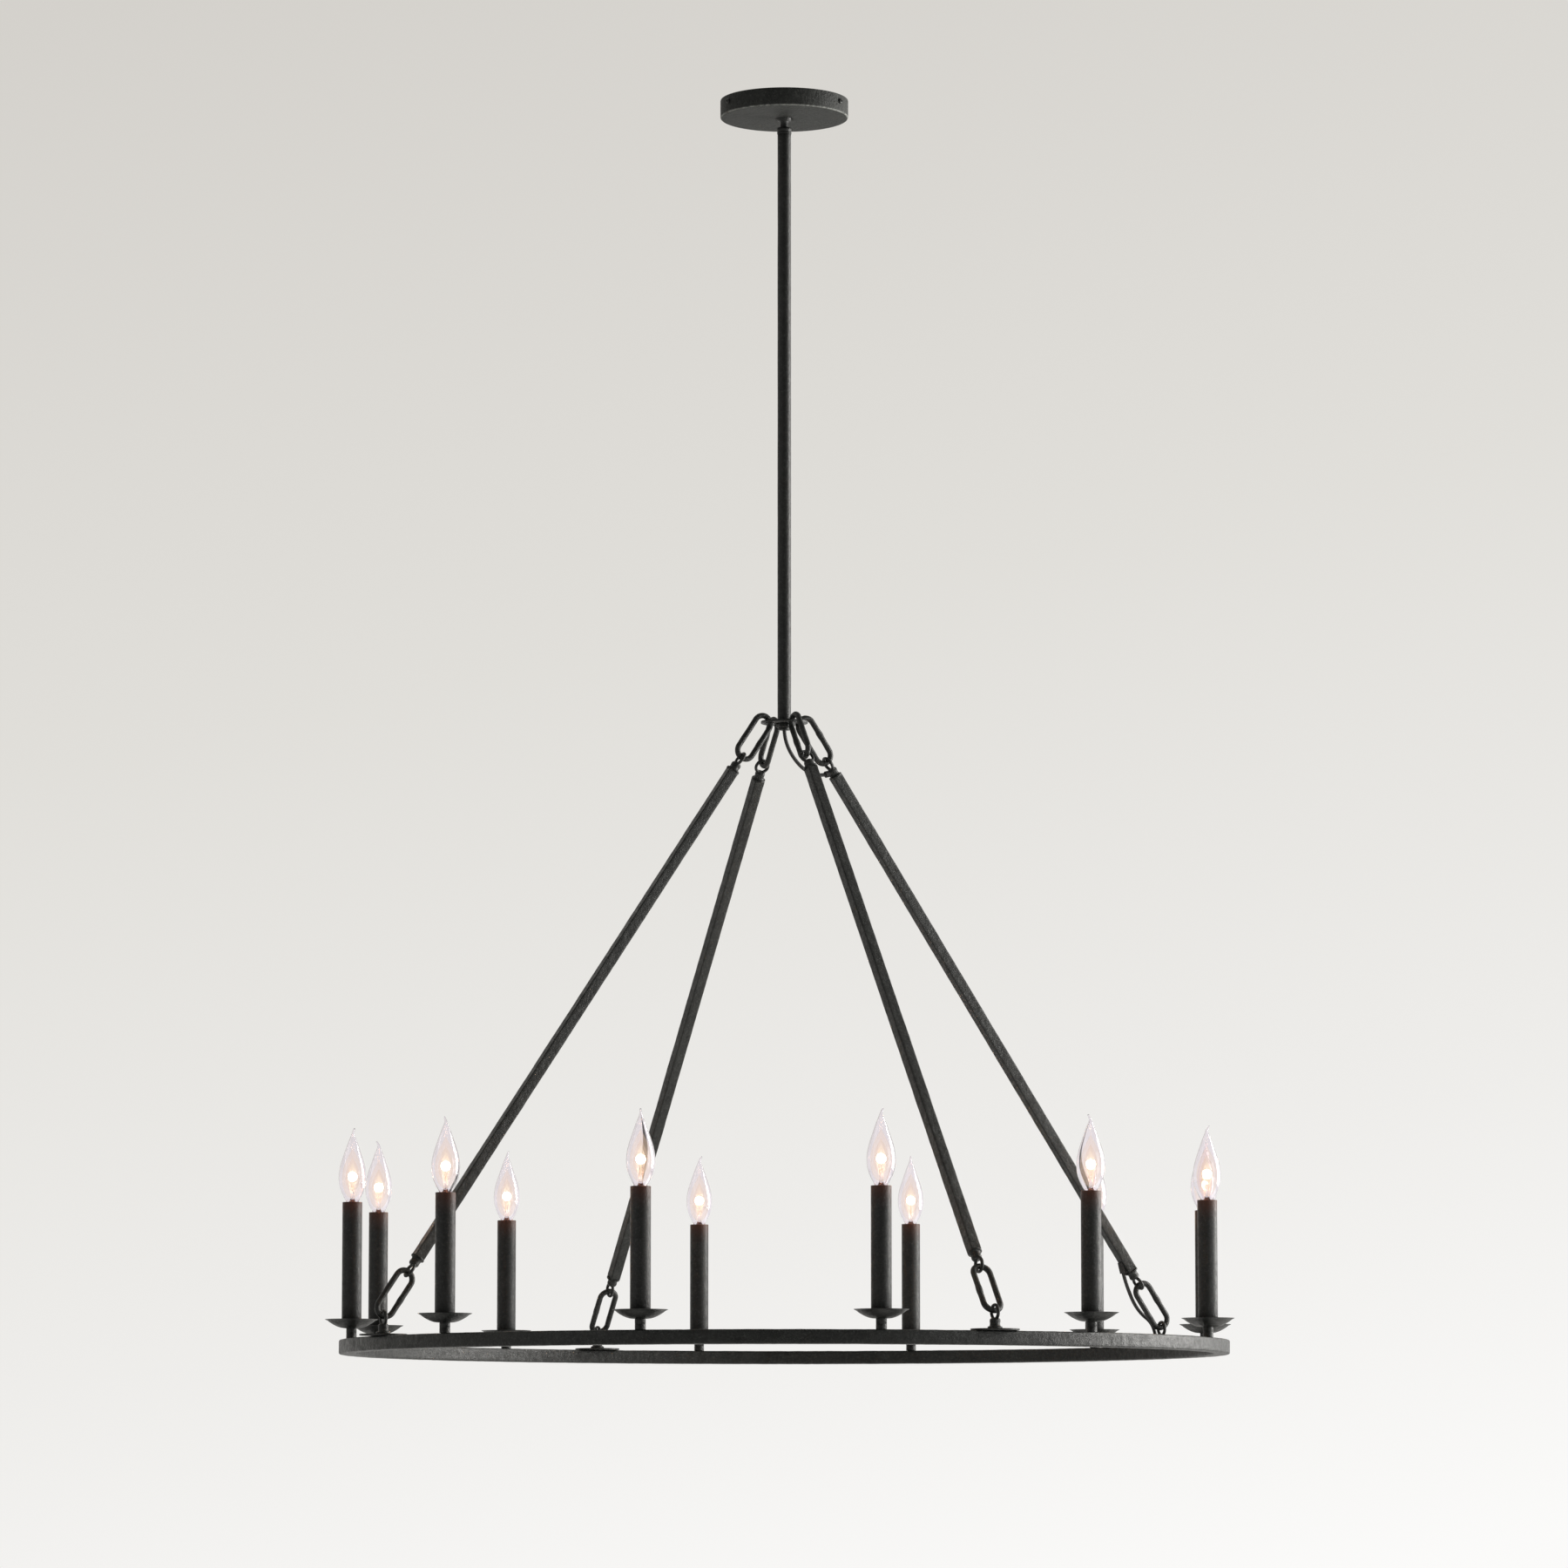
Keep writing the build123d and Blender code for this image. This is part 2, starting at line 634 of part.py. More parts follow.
def bend_radii(points):
    radii = []
    for a, b, c in zip(points, points[1:], points[2:]):
        turn = radians((b - a).get_angle(c - b))
        radii.append(0.45 * min((b - a).length, (c - b).length) / tan(turn / 2))
    return radii


entry = arm_point(top_eye + 12.5, 0)
entry_dir = Vector(cos(radians(15)), 0, sin(radians(15)))
exit_point = arm_point(tube_low - 14, arm_side / 2)
exit_dir = (arm_point(1, tan(radians(20))) - arm_point(0, 0)).normalized()
ring_entry = Vector(ring_mid_r, 14, foot_plate_z)

# Bushes on arm 4: blind bores that the flex ends in
with BuildPart() as arm_bushes:
    for start, out in ((entry, entry_dir * -1), (exit_point, exit_dir)):
        end = start + out * bush_len
        with BuildSketch(Plane(origin=end, z_dir=out)):
            Circle(bush_d / 2)
        extrude(amount=-(bush_len + 2))
        with BuildSketch(Plane(origin=end, z_dir=out)):
            Circle(flex_d / 2 + flex_gap)
        extrude(amount=-bush_bore_h, mode=Mode.SUBTRACT)
    with BuildSketch(arm_plane(0, lean, top_eye + 4)):
        Circle(eye_post_d / 2)
    extrude(amount=20, mode=Mode.SUBTRACT)
    with BuildSketch(arm_plane(0, lean, tube_top)):
        Rectangle(arm_side, arm_side)
    extrude(amount=tube_low - tube_top, mode=Mode.SUBTRACT)
arm_bushes.part.label = "arm_bushes"
export_step(arm_bushes.part, "parts/arm_bushes.step")

# Bush on the foot plate of arm 4
with BuildPart() as ring_bush:
    with BuildSketch(Plane(origin=ring_entry)):
        Circle(bush_d / 2)
    extrude(amount=bush_bore_h + 1)
    with BuildSketch(Plane(origin=ring_entry + Vector(0, 0, 1))):
        Circle(flex_d / 2 + flex_gap)
    extrude(amount=bush_bore_h, mode=Mode.SUBTRACT)
ring_bush.part.label = "ring_bush"
export_step(ring_bush.part, "parts/ring_bush.step")

upper_route = [
    Vector(0, 0, hub_nipple_z + 3),
    Vector(0, 0, hub_nipple_z - 20),
    entry - entry_dir * (bush_len - bush_bore_h + 24),
    entry - entry_dir * (bush_len - bush_bore_h),
]
upper_radii = bend_radii(upper_route)
with BuildPart() as flex_upper:
    with BuildLine() as upper_path:
        FilletPolyline(*upper_route, radius=upper_radii)
    with BuildSketch(Plane(origin=upper_route[0], z_dir=upper_route[1] - upper_route[0])):
        Circle(flex_d / 2)
    sweep(path=upper_path.wires()[0])
flex_upper.part.label = "flex_upper"
export_step(flex_upper.part, "parts/flex_upper.step")

lower_route = [
    exit_point + exit_dir * (bush_len - bush_bore_h),
    exit_point + exit_dir * 25,
    arm_point(low_eye + 30, 15.5, 11),
    ring_entry + Vector(0, 0, 23),
    ring_entry + Vector(0, 0, 1),
]
lower_radii = bend_radii(lower_route)
with BuildPart() as flex_lower:
    with BuildLine() as lower_path:
        FilletPolyline(*lower_route, radius=lower_radii)
    with BuildSketch(Plane(origin=lower_route[0], z_dir=lower_route[1] - lower_route[0])):
        Circle(flex_d / 2)
    sweep(path=lower_path.wires()[0])
flex_lower.part.label = "flex_lower"
export_step(flex_lower.part, "parts/flex_lower.step")

for name, path, part, radii in (
    ("upper", upper_path, flex_upper, upper_radii),
    ("lower", lower_path, flex_lower, lower_radii),
):
    length = sum(edge.length for edge in path.edges())
    ratio = part.part.volume / (length * pi * flex_d**2 / 4)
    print("flex", name, "length", round(length, 1), "volume ratio", round(ratio, 4))
    print("flex", name, "bend radii", [round(r, 1) for r in radii])
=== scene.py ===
import math

import bpy
from mathutils import Matrix, Vector


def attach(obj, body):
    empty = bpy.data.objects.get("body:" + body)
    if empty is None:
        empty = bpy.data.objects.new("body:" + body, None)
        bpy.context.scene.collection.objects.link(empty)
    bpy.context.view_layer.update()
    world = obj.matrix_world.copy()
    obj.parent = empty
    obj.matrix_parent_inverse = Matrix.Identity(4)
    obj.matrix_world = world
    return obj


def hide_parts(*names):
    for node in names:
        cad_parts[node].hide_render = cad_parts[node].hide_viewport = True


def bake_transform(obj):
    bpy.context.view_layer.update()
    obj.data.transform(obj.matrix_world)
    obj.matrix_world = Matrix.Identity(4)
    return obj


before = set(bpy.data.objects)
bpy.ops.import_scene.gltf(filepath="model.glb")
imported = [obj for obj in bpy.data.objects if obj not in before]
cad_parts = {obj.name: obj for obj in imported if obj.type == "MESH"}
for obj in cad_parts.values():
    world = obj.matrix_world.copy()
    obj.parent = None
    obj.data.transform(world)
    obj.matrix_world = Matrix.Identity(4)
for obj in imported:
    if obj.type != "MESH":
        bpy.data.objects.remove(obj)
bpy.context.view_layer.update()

# An iron ring chandelier: canopy, down rod, hub plate, four arms on chain links,
# a rolled ring and twelve candle lamps. Sizes are in millimetres and go through MM.
MM = 0.001
# A turned form starts or ends on a circle this small, which close_up merges to a point
POLE_R = 0.01

# Canopy and swivel
CANOPY_R = 78.25
CANOPY_H = 22
CANOPY_WALL = 1.2
CANOPY_EDGE_R = 1.6
CANOPY_HOLE_R = 9.7
SIDE_SCREW_Z = -8.5
SIDE_SCREW_ANGLES = (63, 183, 303)
BALL_R = 7.4
BALL_Z = -21

# Rod and hub
ROD_R = 8.3
ROD_BORE_R = 6.6
ROD_TOP = -41.5
HUB_TOP = -765.5
HUB_T = 3
HUB_R = 28.5
HUB_HOLE_R = 5.5
HUB_HOLE_CIRCLE = 20
HUB_LAND_R = 12
HUB_NUT_R = 10.39
HUB_NUT_H = 5
HUB_NIPPLE_LOW = -776.5

# Links, eyes and arms
LINK_WIRE_R = 3.5
LINK_ARC_R = 10.5
LINK_LEG = 40.5
LINK_LEG_STEPS = 10
LINK_ARC_STEPS = 16
EYE_WIRE_R = 2
EYE_MEAN_R = 8
EYE_RISE = 18.7
# From the wire that a link hooks to the middle of the link's arc
HUB_HOOK = 4.5
RING_HOOK = 4.65
EYE_HOOK = 4.9
ARM_SIDE = 13.4
ARM_CORNER_R = 1.3
ARM_STEP = 5
ARM_ANGLES = {1: 180, 2: 90, 3: 270, 4: 0}
# Arms whose lower link lies level, and not upright
LEVEL_BELOW = {1: False, 2: True, 3: True, 4: False}
# The rim of the hub plate, outside each hole, that the upper link hooks
WEB_R = 27
WEB_Z = -767

# Ring and candles
RING_TOP = -1514
RING_MID_R = 523.5
RING_W = 20
RING_H = 17
RING_CORNER_R = 2
RING_STEPS = 560
FOOT_PLATE_R = 28
FOOT_PLATE_T = 2
CANDLE_COUNT = 12
CANDLE_START = 15
CANDLE_STEP = 360 / CANDLE_COUNT
SLEEVE_R = 11.7
SLEEVE_WALL = 1
# Heights above the ring's top
SLEEVE_FOOT = 13.2
SLEEVE_TOP = 161
LAMP_SEAT = 158.3

# Lamps: which way each tip leans, then the glass and the filament, above the seat
TAIL_TURN = (200, 65, 330, 20, 150, 285, 100, 240, 10, 175, 310, 75)
GLASS_SIDES = 96
GLASS_WALL = 0.5
FLAME_Z = 33
COIL_LOW = 31.5
COIL_R = 0.75
COIL_WIRE_R = 0.16
COIL_PITCH = 0.66
COIL_TURNS = 16

# Flex
FLEX_R = 2.25
BUSH_LEN = 11.5
BUSH_STOP = 3

# The photograph looks along +Y turned by this many degrees
VIEW_TURN = 27

# Floor, in metres
FLOOR_SIZE = 60
FLOOR_Z = -2.75


# Modelling


def clear_selection():
    if bpy.context.object and bpy.context.object.mode != "OBJECT":
        bpy.ops.object.mode_set(mode="OBJECT")
    bpy.ops.object.select_all(action="DESELECT")


def new_piece(name):
    piece = bpy.context.object
    piece.name = name
    piece.data.name = name
    return piece


def pick(piece):
    clear_selection()
    piece.select_set(True)
    bpy.context.view_layer.objects.active = piece


def edit_all(piece):
    pick(piece)
    bpy.ops.object.mode_set(mode="EDIT")
    bpy.ops.mesh.select_mode(type="VERT")
    bpy.ops.mesh.select_all(action="SELECT")


def close_up(piece, merge=0.004, angle=40):
    """Merges doubles, turns faces outwards and smooths all but the sharp edges."""
    edit_all(piece)
    bpy.ops.mesh.remove_doubles(threshold=merge * MM)
    bpy.ops.mesh.normals_make_consistent(inside=False)
    bpy.ops.object.mode_set(mode="OBJECT")
    bpy.ops.object.shade_smooth_by_angle(angle=math.radians(angle))
    return piece


def apply_modifier(piece, kind, **settings):
    pick(piece)
    modifier = piece.modifiers.new(kind.lower(), kind)
    for key, value in settings.items():
        setattr(modifier, key, value)
    bpy.ops.object.modifier_apply(modifier=modifier.name)
    return piece


def pull(dx, dy, dz):
    step = (dx * MM, dy * MM, dz * MM)
    bpy.ops.mesh.extrude_region_move(TRANSFORM_OT_translate={"value": step})


def open_to(ratio, z):
    bpy.ops.transform.resize(value=(ratio, ratio, 1), center_override=(0, 0, z * MM))


def drawn_up(name, profile, sides):
    """A ring of edges on the Z axis, drawn through (radius, height) steps; stays in edit mode."""
    clear_selection()
    radius, height = profile[0]
    bpy.ops.mesh.primitive_circle_add(vertices=sides, radius=radius * MM, location=(0, 0, 0))
    piece = new_piece(name)
    edit_all(piece)
    bpy.ops.transform.translate(value=(0, 0, height * MM))
    for next_radius, next_height in profile[1:]:
        pull(0, 0, next_height - height)
        open_to(next_radius / radius, next_height)
        radius, height = next_radius, next_height
    return piece


def turned(name, profile, sides, angle=40):
    """A finished lathe form."""
    return close_up(drawn_up(name, profile, sides), angle=angle)


def pick_points(piece, wanted):
    """Selects the points whose place, in millimetres, is wanted; stays in edit mode."""
    edit_all(piece)
    bpy.ops.mesh.select_all(action="DESELECT")
    bpy.ops.object.mode_set(mode="OBJECT")
    for vertex in piece.data.vertices:
        vertex.select = wanted(*(vertex.co / MM))
    bpy.ops.object.mode_set(mode="EDIT")


def soften_section(piece, corner_r, shortest_flat):
    """Rounds the corners of a bar's section, and cuts its flats into steps for the hammer marks."""
    bpy.ops.mesh.bevel(affect="VERTICES", offset=corner_r * MM, segments=3)
    bpy.ops.mesh.select_all(action="DESELECT")
    bpy.ops.object.mode_set(mode="OBJECT")
    for edge in piece.data.edges:
        a, b = (piece.data.vertices[i].co for i in edge.vertices)
        edge.select = (a - b).length > shortest_flat * MM
    bpy.ops.object.mode_set(mode="EDIT")
    bpy.ops.mesh.select_mode(type="EDGE")
    bpy.ops.mesh.subdivide(number_cuts=3)
    bpy.ops.mesh.select_all(action="SELECT")


def ease_edges(piece, width, angle):
    limit = {"limit_method": "ANGLE", "angle_limit": math.radians(angle)}
    return apply_modifier(piece, "BEVEL", width=width * MM, segments=2, **limit)


def swell(piece, texture, strength, mid):
    """Uneven, hammered surface from a cloud pattern."""
    settings = {"texture": texture, "texture_coords": "LOCAL", "mid_level": mid}
    return apply_modifier(piece, "DISPLACE", strength=strength * MM, **settings)


def set_down(piece, matrix):
    piece.data.transform(matrix)
    piece.data.update()
    return piece


def copy_of(piece, name, matrix):
    twin = piece.copy()
    twin.data = piece.data.copy()
    twin.name = name
    twin.data.name = name
    bpy.context.scene.collection.objects.link(twin)
    return set_down(twin, matrix)


def put_away(piece):
    bpy.data.objects.remove(piece, do_unlink=True)


def joined(pieces, name):
    clear_selection()
    for piece in pieces:
        piece.select_set(True)
    bpy.context.view_layer.objects.active = pieces[0]
    if len(pieces) > 1:
        bpy.ops.object.join()
    return new_piece(name)


def cloud(name, size):
    texture = bpy.data.textures.new(name, "CLOUDS")
    texture.noise_scale = size * MM
    texture.noise_depth = 2
    return texture


forge_marks = cloud("forge_marks", 9)
long_waves = cloud("long_waves", 38)


# Finishes


class Value:
    """A node's output; arithmetic on it adds Math nodes."""

    def __init__(self, finish, socket):
        self.finish = finish
        self.socket = socket

    def math(self, operation, first, second):
        return self.finish.add("ShaderNodeMath", {"operation": operation}, {0: first, 1: second})

    def __add__(self, other):
        return self.math("ADD", self, other)

    def __radd__(self, other):
        return self.math("ADD", other, self)

    def __mul__(self, other):
        return self.math("MULTIPLY", self, other)

    def __rmul__(self, other):
        return self.math("MULTIPLY", other, self)

    def __truediv__(self, other):
        return self.math("DIVIDE", self, other)

    def __pow__(self, other):
        return self.math("POWER", self, other)


class Finish:
    """A node tree that is drawn with add(): a node's type, its settings, its sockets."""

    def __init__(self, tree):
        self.tree = tree
        self.tree.nodes.clear()

    def add(self, kind, settings=None, sockets=None, out=0):
        node = self.tree.nodes.new(kind)
        for key, value in (settings or {}).items():
            if key == "stops":
                ramp = node.color_ramp.elements
                while len(ramp) < len(value):
                    ramp.new(0.5)
                for element, (place, colour) in zip(ramp, value):
                    element.position = place
                    element.color = (*colour, 1)
            else:
                setattr(node, key, value)
        for key, value in (sockets or {}).items():
            if isinstance(value, Value):
                self.tree.links.new(value.socket, node.inputs[key])
            elif isinstance(value, tuple) and len(value) == 3 and node.inputs[key].type == "RGBA":
                node.inputs[key].default_value = (*value, 1)
            else:
                node.inputs[key].default_value = value
        return Value(self, node.outputs[out]) if node.outputs else node

    def noise(self, place, scale, detail=3, roughness=0.55, distortion=0):
        sockets = {
            "Vector": place,
            "Scale": scale,
            "Detail": detail,
            "Roughness": roughness,
            "Distortion": distortion,
        }
        return self.add("ShaderNodeTexNoise", None, sockets)

    def ramp(self, value, *stops):
        return self.add("ShaderNodeValToRGB", {"stops": stops}, {0: value})

    def band(self, value, low, high, low_out=0, high_out=1):
        sockets = {"Value": value, 1: low, 2: high, 3: low_out, 4: high_out}
        return self.add("ShaderNodeMapRange", {"clamp": True}, sockets)

    def mix(self, factor, first, second, blend="MIX"):
        settings = {"data_type": "RGBA", "blend_type": blend}
        return self.add("ShaderNodeMix", settings, {0: factor, 6: first, 7: second}, out=2)

    def bump(self, height, strength, distance):
        sockets = {"Height": height, "Strength": strength, "Distance": distance * MM}
        return self.add("ShaderNodeBump", None, sockets)

    def split(self, vector, axis):
        return self.add("ShaderNodeSeparateXYZ", None, {0: vector}, out=axis)

    def length(self, vector):
        return self.add("ShaderNodeVectorMath", {"operation": "LENGTH"}, {0: vector}, out="Value")

    def along(self, vector, direction):
        settings, sockets = {"operation": "DOT_PRODUCT"}, {0: vector, 1: direction}
        return self.add("ShaderNodeVectorMath", settings, sockets, out="Value")

    def ray(self, kind):
        return self.add("ShaderNodeLightPath", out=f"Is {kind} Ray")


def material(name):
    made = bpy.data.materials.new(name)
    made.use_nodes = True
    finish = Finish(made.node_tree)
    finish.place = finish.add("ShaderNodeTexCoord", out="Object")
    return made, finish


def shade(finish, **sockets):
    names = {key.replace("_", " "): value for key, value in sockets.items()}
    surface = finish.add("ShaderNodeBsdfPrincipled", None, names)
    finish.add("ShaderNodeOutputMaterial", None, {0: surface})


def blackened_iron(name, low, high, marks, rough_at, painted_glow_top=None):
    """Black waxed iron: cloudy charcoal, bright rubbed specks, hammer marks and fine scale."""
    made, f = material(name)
    clouds = f.noise(f.place, 34, 5, 0.6, 0.3)
    blotches = f.noise(f.place, 130, 4, 0.6, 0.4)
    specks = f.noise(f.place, 330, 4, 0.65)
    scale = f.noise(f.place, 900, 3, 0.6)
    cells = {"Vector": f.place, "Scale": 105, "Smoothness": 0.7, "Randomness": 1}
    dents = f.add("ShaderNodeTexVoronoi", {"feature": "SMOOTH_F1"}, cells)
    shade_of = f.band(clouds * 0.4 + blotches * 0.3 + specks * 0.3, 0.4, 0.62)
    colour = f.mix(shade_of, low, high)
    rub = f.band(specks * 0.55 + scale * 0.45, 0.54, 0.68)
    colour = f.mix(rub * 0.5, colour, tuple(4.5 * c for c in high))
    rust = f.band(f.noise(f.place, 85, 3, 0.5), 0.56, 0.75)
    colour = f.mix(rust * 0.12, colour, (0.03, 0.02, 0.014))
    if painted_glow_top:
        # Painted warm glow of the lamp's light on the last stretch below the rim
        z = f.split(f.place, "Z")
        start, end = painted_glow_top
        lamp_glow = f.band(z, start * MM, end * MM) ** 2.0
        colour = f.mix(lamp_glow * 0.85, colour, (0.085, 0.028, 0.016))
    rough = f.band(blotches * 0.6 + specks * 0.4, 0.36, 0.64, rough_at + 0.16, rough_at - 0.1)
    height = (
        dents * (0.6 * marks)
        + clouds * (0.4 * marks)
        + blotches * (0.5 + 0.3 * marks)
        + specks * 0.55
        + scale * 0.3
    )
    normal = f.bump(height, 0.85, 1.0)
    shade(f, Base_Color=colour, Roughness=rough, Specular_IOR_Level=0.29, Normal=normal)
    return made


def canopy_iron():
    """Satin charcoal over hammered sheet, with a painted highlight along its lower edge."""
    made, f = material("canopy_iron")
    clouds = f.noise(f.place, 42, 6, 0.62, 0.4)
    hammer = f.noise(f.place, 260, 3, 0.6)
    specks = f.noise(f.place, 620, 3, 0.65)
    shade_of = f.band(clouds * 0.4 + hammer * 0.3 + specks * 0.3, 0.4, 0.62)
    colour = f.mix(shade_of, (0.0125, 0.0137, 0.0125), (0.034, 0.036, 0.033))
    worn = f.band(specks * 0.6 + hammer * 0.4, 0.54, 0.68)
    colour = f.mix(worn * 0.3, colour, (0.12, 0.125, 0.115))
    # Painted highlight: a bright line round the lower edge, broken up by the hammer marks
    flat = f.add("ShaderNodeVectorMath", {"operation": "MULTIPLY"}, {0: f.place, 1: (1, 1, 0)})
    reach = f.length(flat)
    low = f.band(f.split(f.place, "Z"), (0.7 - CANOPY_H) * MM, (2.2 - CANOPY_H) * MM, 1, 0)
    edge = low * f.band(reach, (CANOPY_R - 1.7) * MM, (CANOPY_R - 0.6) * MM)
    colour = f.mix(edge * f.band(hammer, 0.36, 0.6, 0.25, 0.9), colour, (0.3, 0.31, 0.29))
    rough = 0.56 + clouds * 0.16
    normal = f.bump(clouds * 0.3 + hammer * 1.1 + specks * 0.7, 0.9, 1.1)
    shade(f, Base_Color=colour, Roughness=rough, Specular_IOR_Level=0.22, Normal=normal)
    return made


def zinc_plate():
    made, f = material("zinc_plate")
    cells = {"Vector": f.place, "Scale": 240, "Randomness": 1}
    spangle = f.add("ShaderNodeTexVoronoi", {"feature": "F1"}, cells)
    haze = f.noise(f.place, 60, 4)
    shade_of = f.band(spangle * 0.6 + haze * 0.4, 0.2, 0.6)
    colour = f.mix(shade_of, (0.36, 0.36, 0.35), (0.58, 0.58, 0.56))
    rough = 0.32 + haze * 0.2
    normal = f.bump(f.noise(f.place, 900, 2), 0.12, 0.2)
    shade(f, Base_Color=colour, Metallic=0.9, Roughness=rough, Normal=normal)
    return made


def lamp_brass():
    made, f = material("lamp_brass")
    haze = f.noise(f.place, 300, 4)
    colour = f.mix(haze, (0.42, 0.29, 0.12), (0.68, 0.51, 0.24))
    shade(f, Base_Color=colour, Metallic=1.0, Roughness=0.24 + haze * 0.2)
    return made


def socket_moulding():
    made, f = material("socket_moulding")
    haze = f.noise(f.place, 180, 4)
    colour = f.mix(haze, (0.56, 0.53, 0.46), (0.72, 0.69, 0.62))
    normal = f.bump(f.noise(f.place, 1400, 2), 0.2, 0.15)
    shade(f, Base_Color=colour, Roughness=0.5 + haze * 0.15, Normal=normal)
    return made


def flex_sheath():
    made, f = material("flex_sheath")
    haze = f.noise(f.place, 220, 4)
    colour = f.mix(haze, (0.009, 0.009, 0.009), (0.022, 0.022, 0.021))
    normal = f.bump(f.noise(f.place, 900, 3), 0.18, 0.2)
    shade(f, Base_Color=colour, Roughness=0.42 + haze * 0.2, Specular_IOR_Level=0.4, Normal=normal)
    return made


def bush_rubber():
    made, f = material("bush_rubber")
    haze = f.noise(f.place, 400, 4)
    colour = f.mix(haze, (0.008, 0.008, 0.008), (0.02, 0.02, 0.02))
    normal = f.bump(f.noise(f.place, 1600, 2), 0.2, 0.1)
    shade(f, Base_Color=colour, Roughness=0.6 + haze * 0.2, Normal=normal)
    return made


def blown_glass():
    made, f = material("blown_glass")
    ripple = f.noise(f.place, 90, 2, 0.4)
    colour = f.mix(ripple, (0.985, 0.955, 0.975), (0.965, 0.94, 0.985))
    shade(f, Base_Color=colour, Roughness=0.01 + ripple * 0.01, IOR=1.45, Transmission_Weight=1.0)
    return made


def lead_wire():
    made, f = material("lead_wire")
    haze = f.noise(f.place, 700, 3)
    colour = f.mix(haze, (0.3, 0.25, 0.2), (0.52, 0.45, 0.37))
    # Painted glow: the filament's light on the leads, given as emission
    painted_filament_glow = f.mix(haze, (1.0, 0.55, 0.24), (1.0, 0.72, 0.42))
    shade(
        f,
        Base_Color=colour,
        Metallic=1.0,
        Roughness=0.3 + haze * 0.2,
        Emission_Color=painted_filament_glow,
        Emission_Strength=0.7,
    )
    return made


def white_heat():
    made, f = material("white_heat")
    haze = f.noise(f.place, 900, 3)
    colour = f.mix(haze, (1.0, 0.86, 0.62), (1.0, 0.94, 0.8))
    shade(
        f,
        Base_Color=(0.2, 0.15, 0.1),
        Roughness=0.5,
        Emission_Color=colour,
        Emission_Strength=14.0,
    )
    return made


# A shell of painted glow round the filament: emission seen through partial alpha
def glow_shell(name, inner, outer, alpha, strength):
    made, f = material(name)
    colour = f.mix(f.noise(f.place, 120, 2), inner, outer)
    shade(
        f,
        Base_Color=(0, 0, 0),
        Roughness=1.0,
        Specular_IOR_Level=0.0,
        Emission_Color=colour,
        Emission_Strength=strength,
        Alpha=alpha,
    )
    return made


iron_forged = blackened_iron(
    "iron_forged", (0.0055, 0.0062, 0.0056), (0.018, 0.0195, 0.018), marks=1.0, rough_at=0.36
)
iron_bar = blackened_iron(
    "iron_bar", (0.0055, 0.0062, 0.0056), (0.02, 0.0215, 0.0198), marks=0.8, rough_at=0.4
)
iron_turned = blackened_iron(
    "iron_turned", (0.005, 0.0056, 0.0051), (0.0155, 0.0168, 0.0155), marks=0.3, rough_at=0.38
)
iron_sleeve = blackened_iron(
    "iron_sleeve",
    (0.005, 0.0055, 0.0051),
    (0.0155, 0.0166, 0.0155),
    marks=0.15,
    rough_at=0.4,
    # Painted lamp glow on the top 30 mm of each sleeve, below its rim
    painted_glow_top=(RING_TOP + SLEEVE_TOP - 30, RING_TOP + SLEEVE_TOP + 2),
)
canopy_finish = canopy_iron()
zinc = zinc_plate()
brass = lamp_brass()
moulding = socket_moulding()
sheath = flex_sheath()
rubber = bush_rubber()
glass = blown_glass()
wire = lead_wire()
lamp_glow = white_heat()
glows = [
    glow_shell("glow_core", (1.0, 0.97, 0.9), (1.0, 0.93, 0.8), 0.6, 1.6),
    glow_shell("glow_mid", (1.0, 0.9, 0.72), (1.0, 0.85, 0.62), 0.28, 1.25),
    glow_shell("glow_haze", (1.0, 0.78, 0.58), (1.0, 0.7, 0.48), 0.15, 1.0),
]


def coat(piece, finish):
    piece.data.materials.clear()
    piece.data.materials.append(finish)


def finish_piece(piece, finish, body, slot, *nodes):
    coat(piece, finish)
    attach(piece, body)
    if nodes:
        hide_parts(*nodes)


# Places along an arm and round the ring


def arm_lean(cross_eye):
    """An arm's angle from upright and its length, found in steps from a first guess."""
    lean = math.radians(34)
    ring_eye = RING_TOP + FOOT_PLATE_T + EYE_RISE
    for _ in range(30):
        end_r = RING_MID_R - (EYE_MEAN_R * math.sin(lean) if cross_eye else 0)
        end_z = ring_eye + EYE_MEAN_R * (math.cos(lean) if cross_eye else 1)
        lean = math.atan2(end_r - WEB_R, WEB_Z - end_z)
    return lean, math.hypot(end_r - WEB_R, WEB_Z - end_z)


def arm_frame(k, along, turned_up=False, flipped=False):
    """Matrix at a distance down arm k: z down the arm, x level or upright."""
    lean, _ = arm_lean(LEVEL_BELOW[k])
    c, s = math.cos(math.radians(ARM_ANGLES[k])), math.sin(math.radians(ARM_ANGLES[k]))
    down = Vector((math.sin(lean) * c, math.sin(lean) * s, -math.cos(lean)))
    level = Vector((-s, c, 0))
    upright = Vector((math.cos(lean) * c, math.cos(lean) * s, math.sin(lean)))
    origin = (Vector((WEB_R * c, WEB_R * s, WEB_Z)) + down * along) * MM
    x_axis = upright if turned_up else level
    z_axis = -down if flipped else down
    y_axis = z_axis.cross(x_axis)
    return Matrix.Translation(origin) @ Matrix((x_axis, y_axis, z_axis)).transposed().to_4x4()


def polar(angle, radius, z, turn=0):
    a = math.radians(angle)
    at = Vector((radius * math.cos(a), radius * math.sin(a), z)) * MM
    return Matrix.Translation(at) @ Matrix.Rotation(math.radians(turn), 4, "Z")


def candle_place(n, z, turn=0):
    return polar(CANDLE_START + CANDLE_STEP * n, RING_MID_R, z, turn)


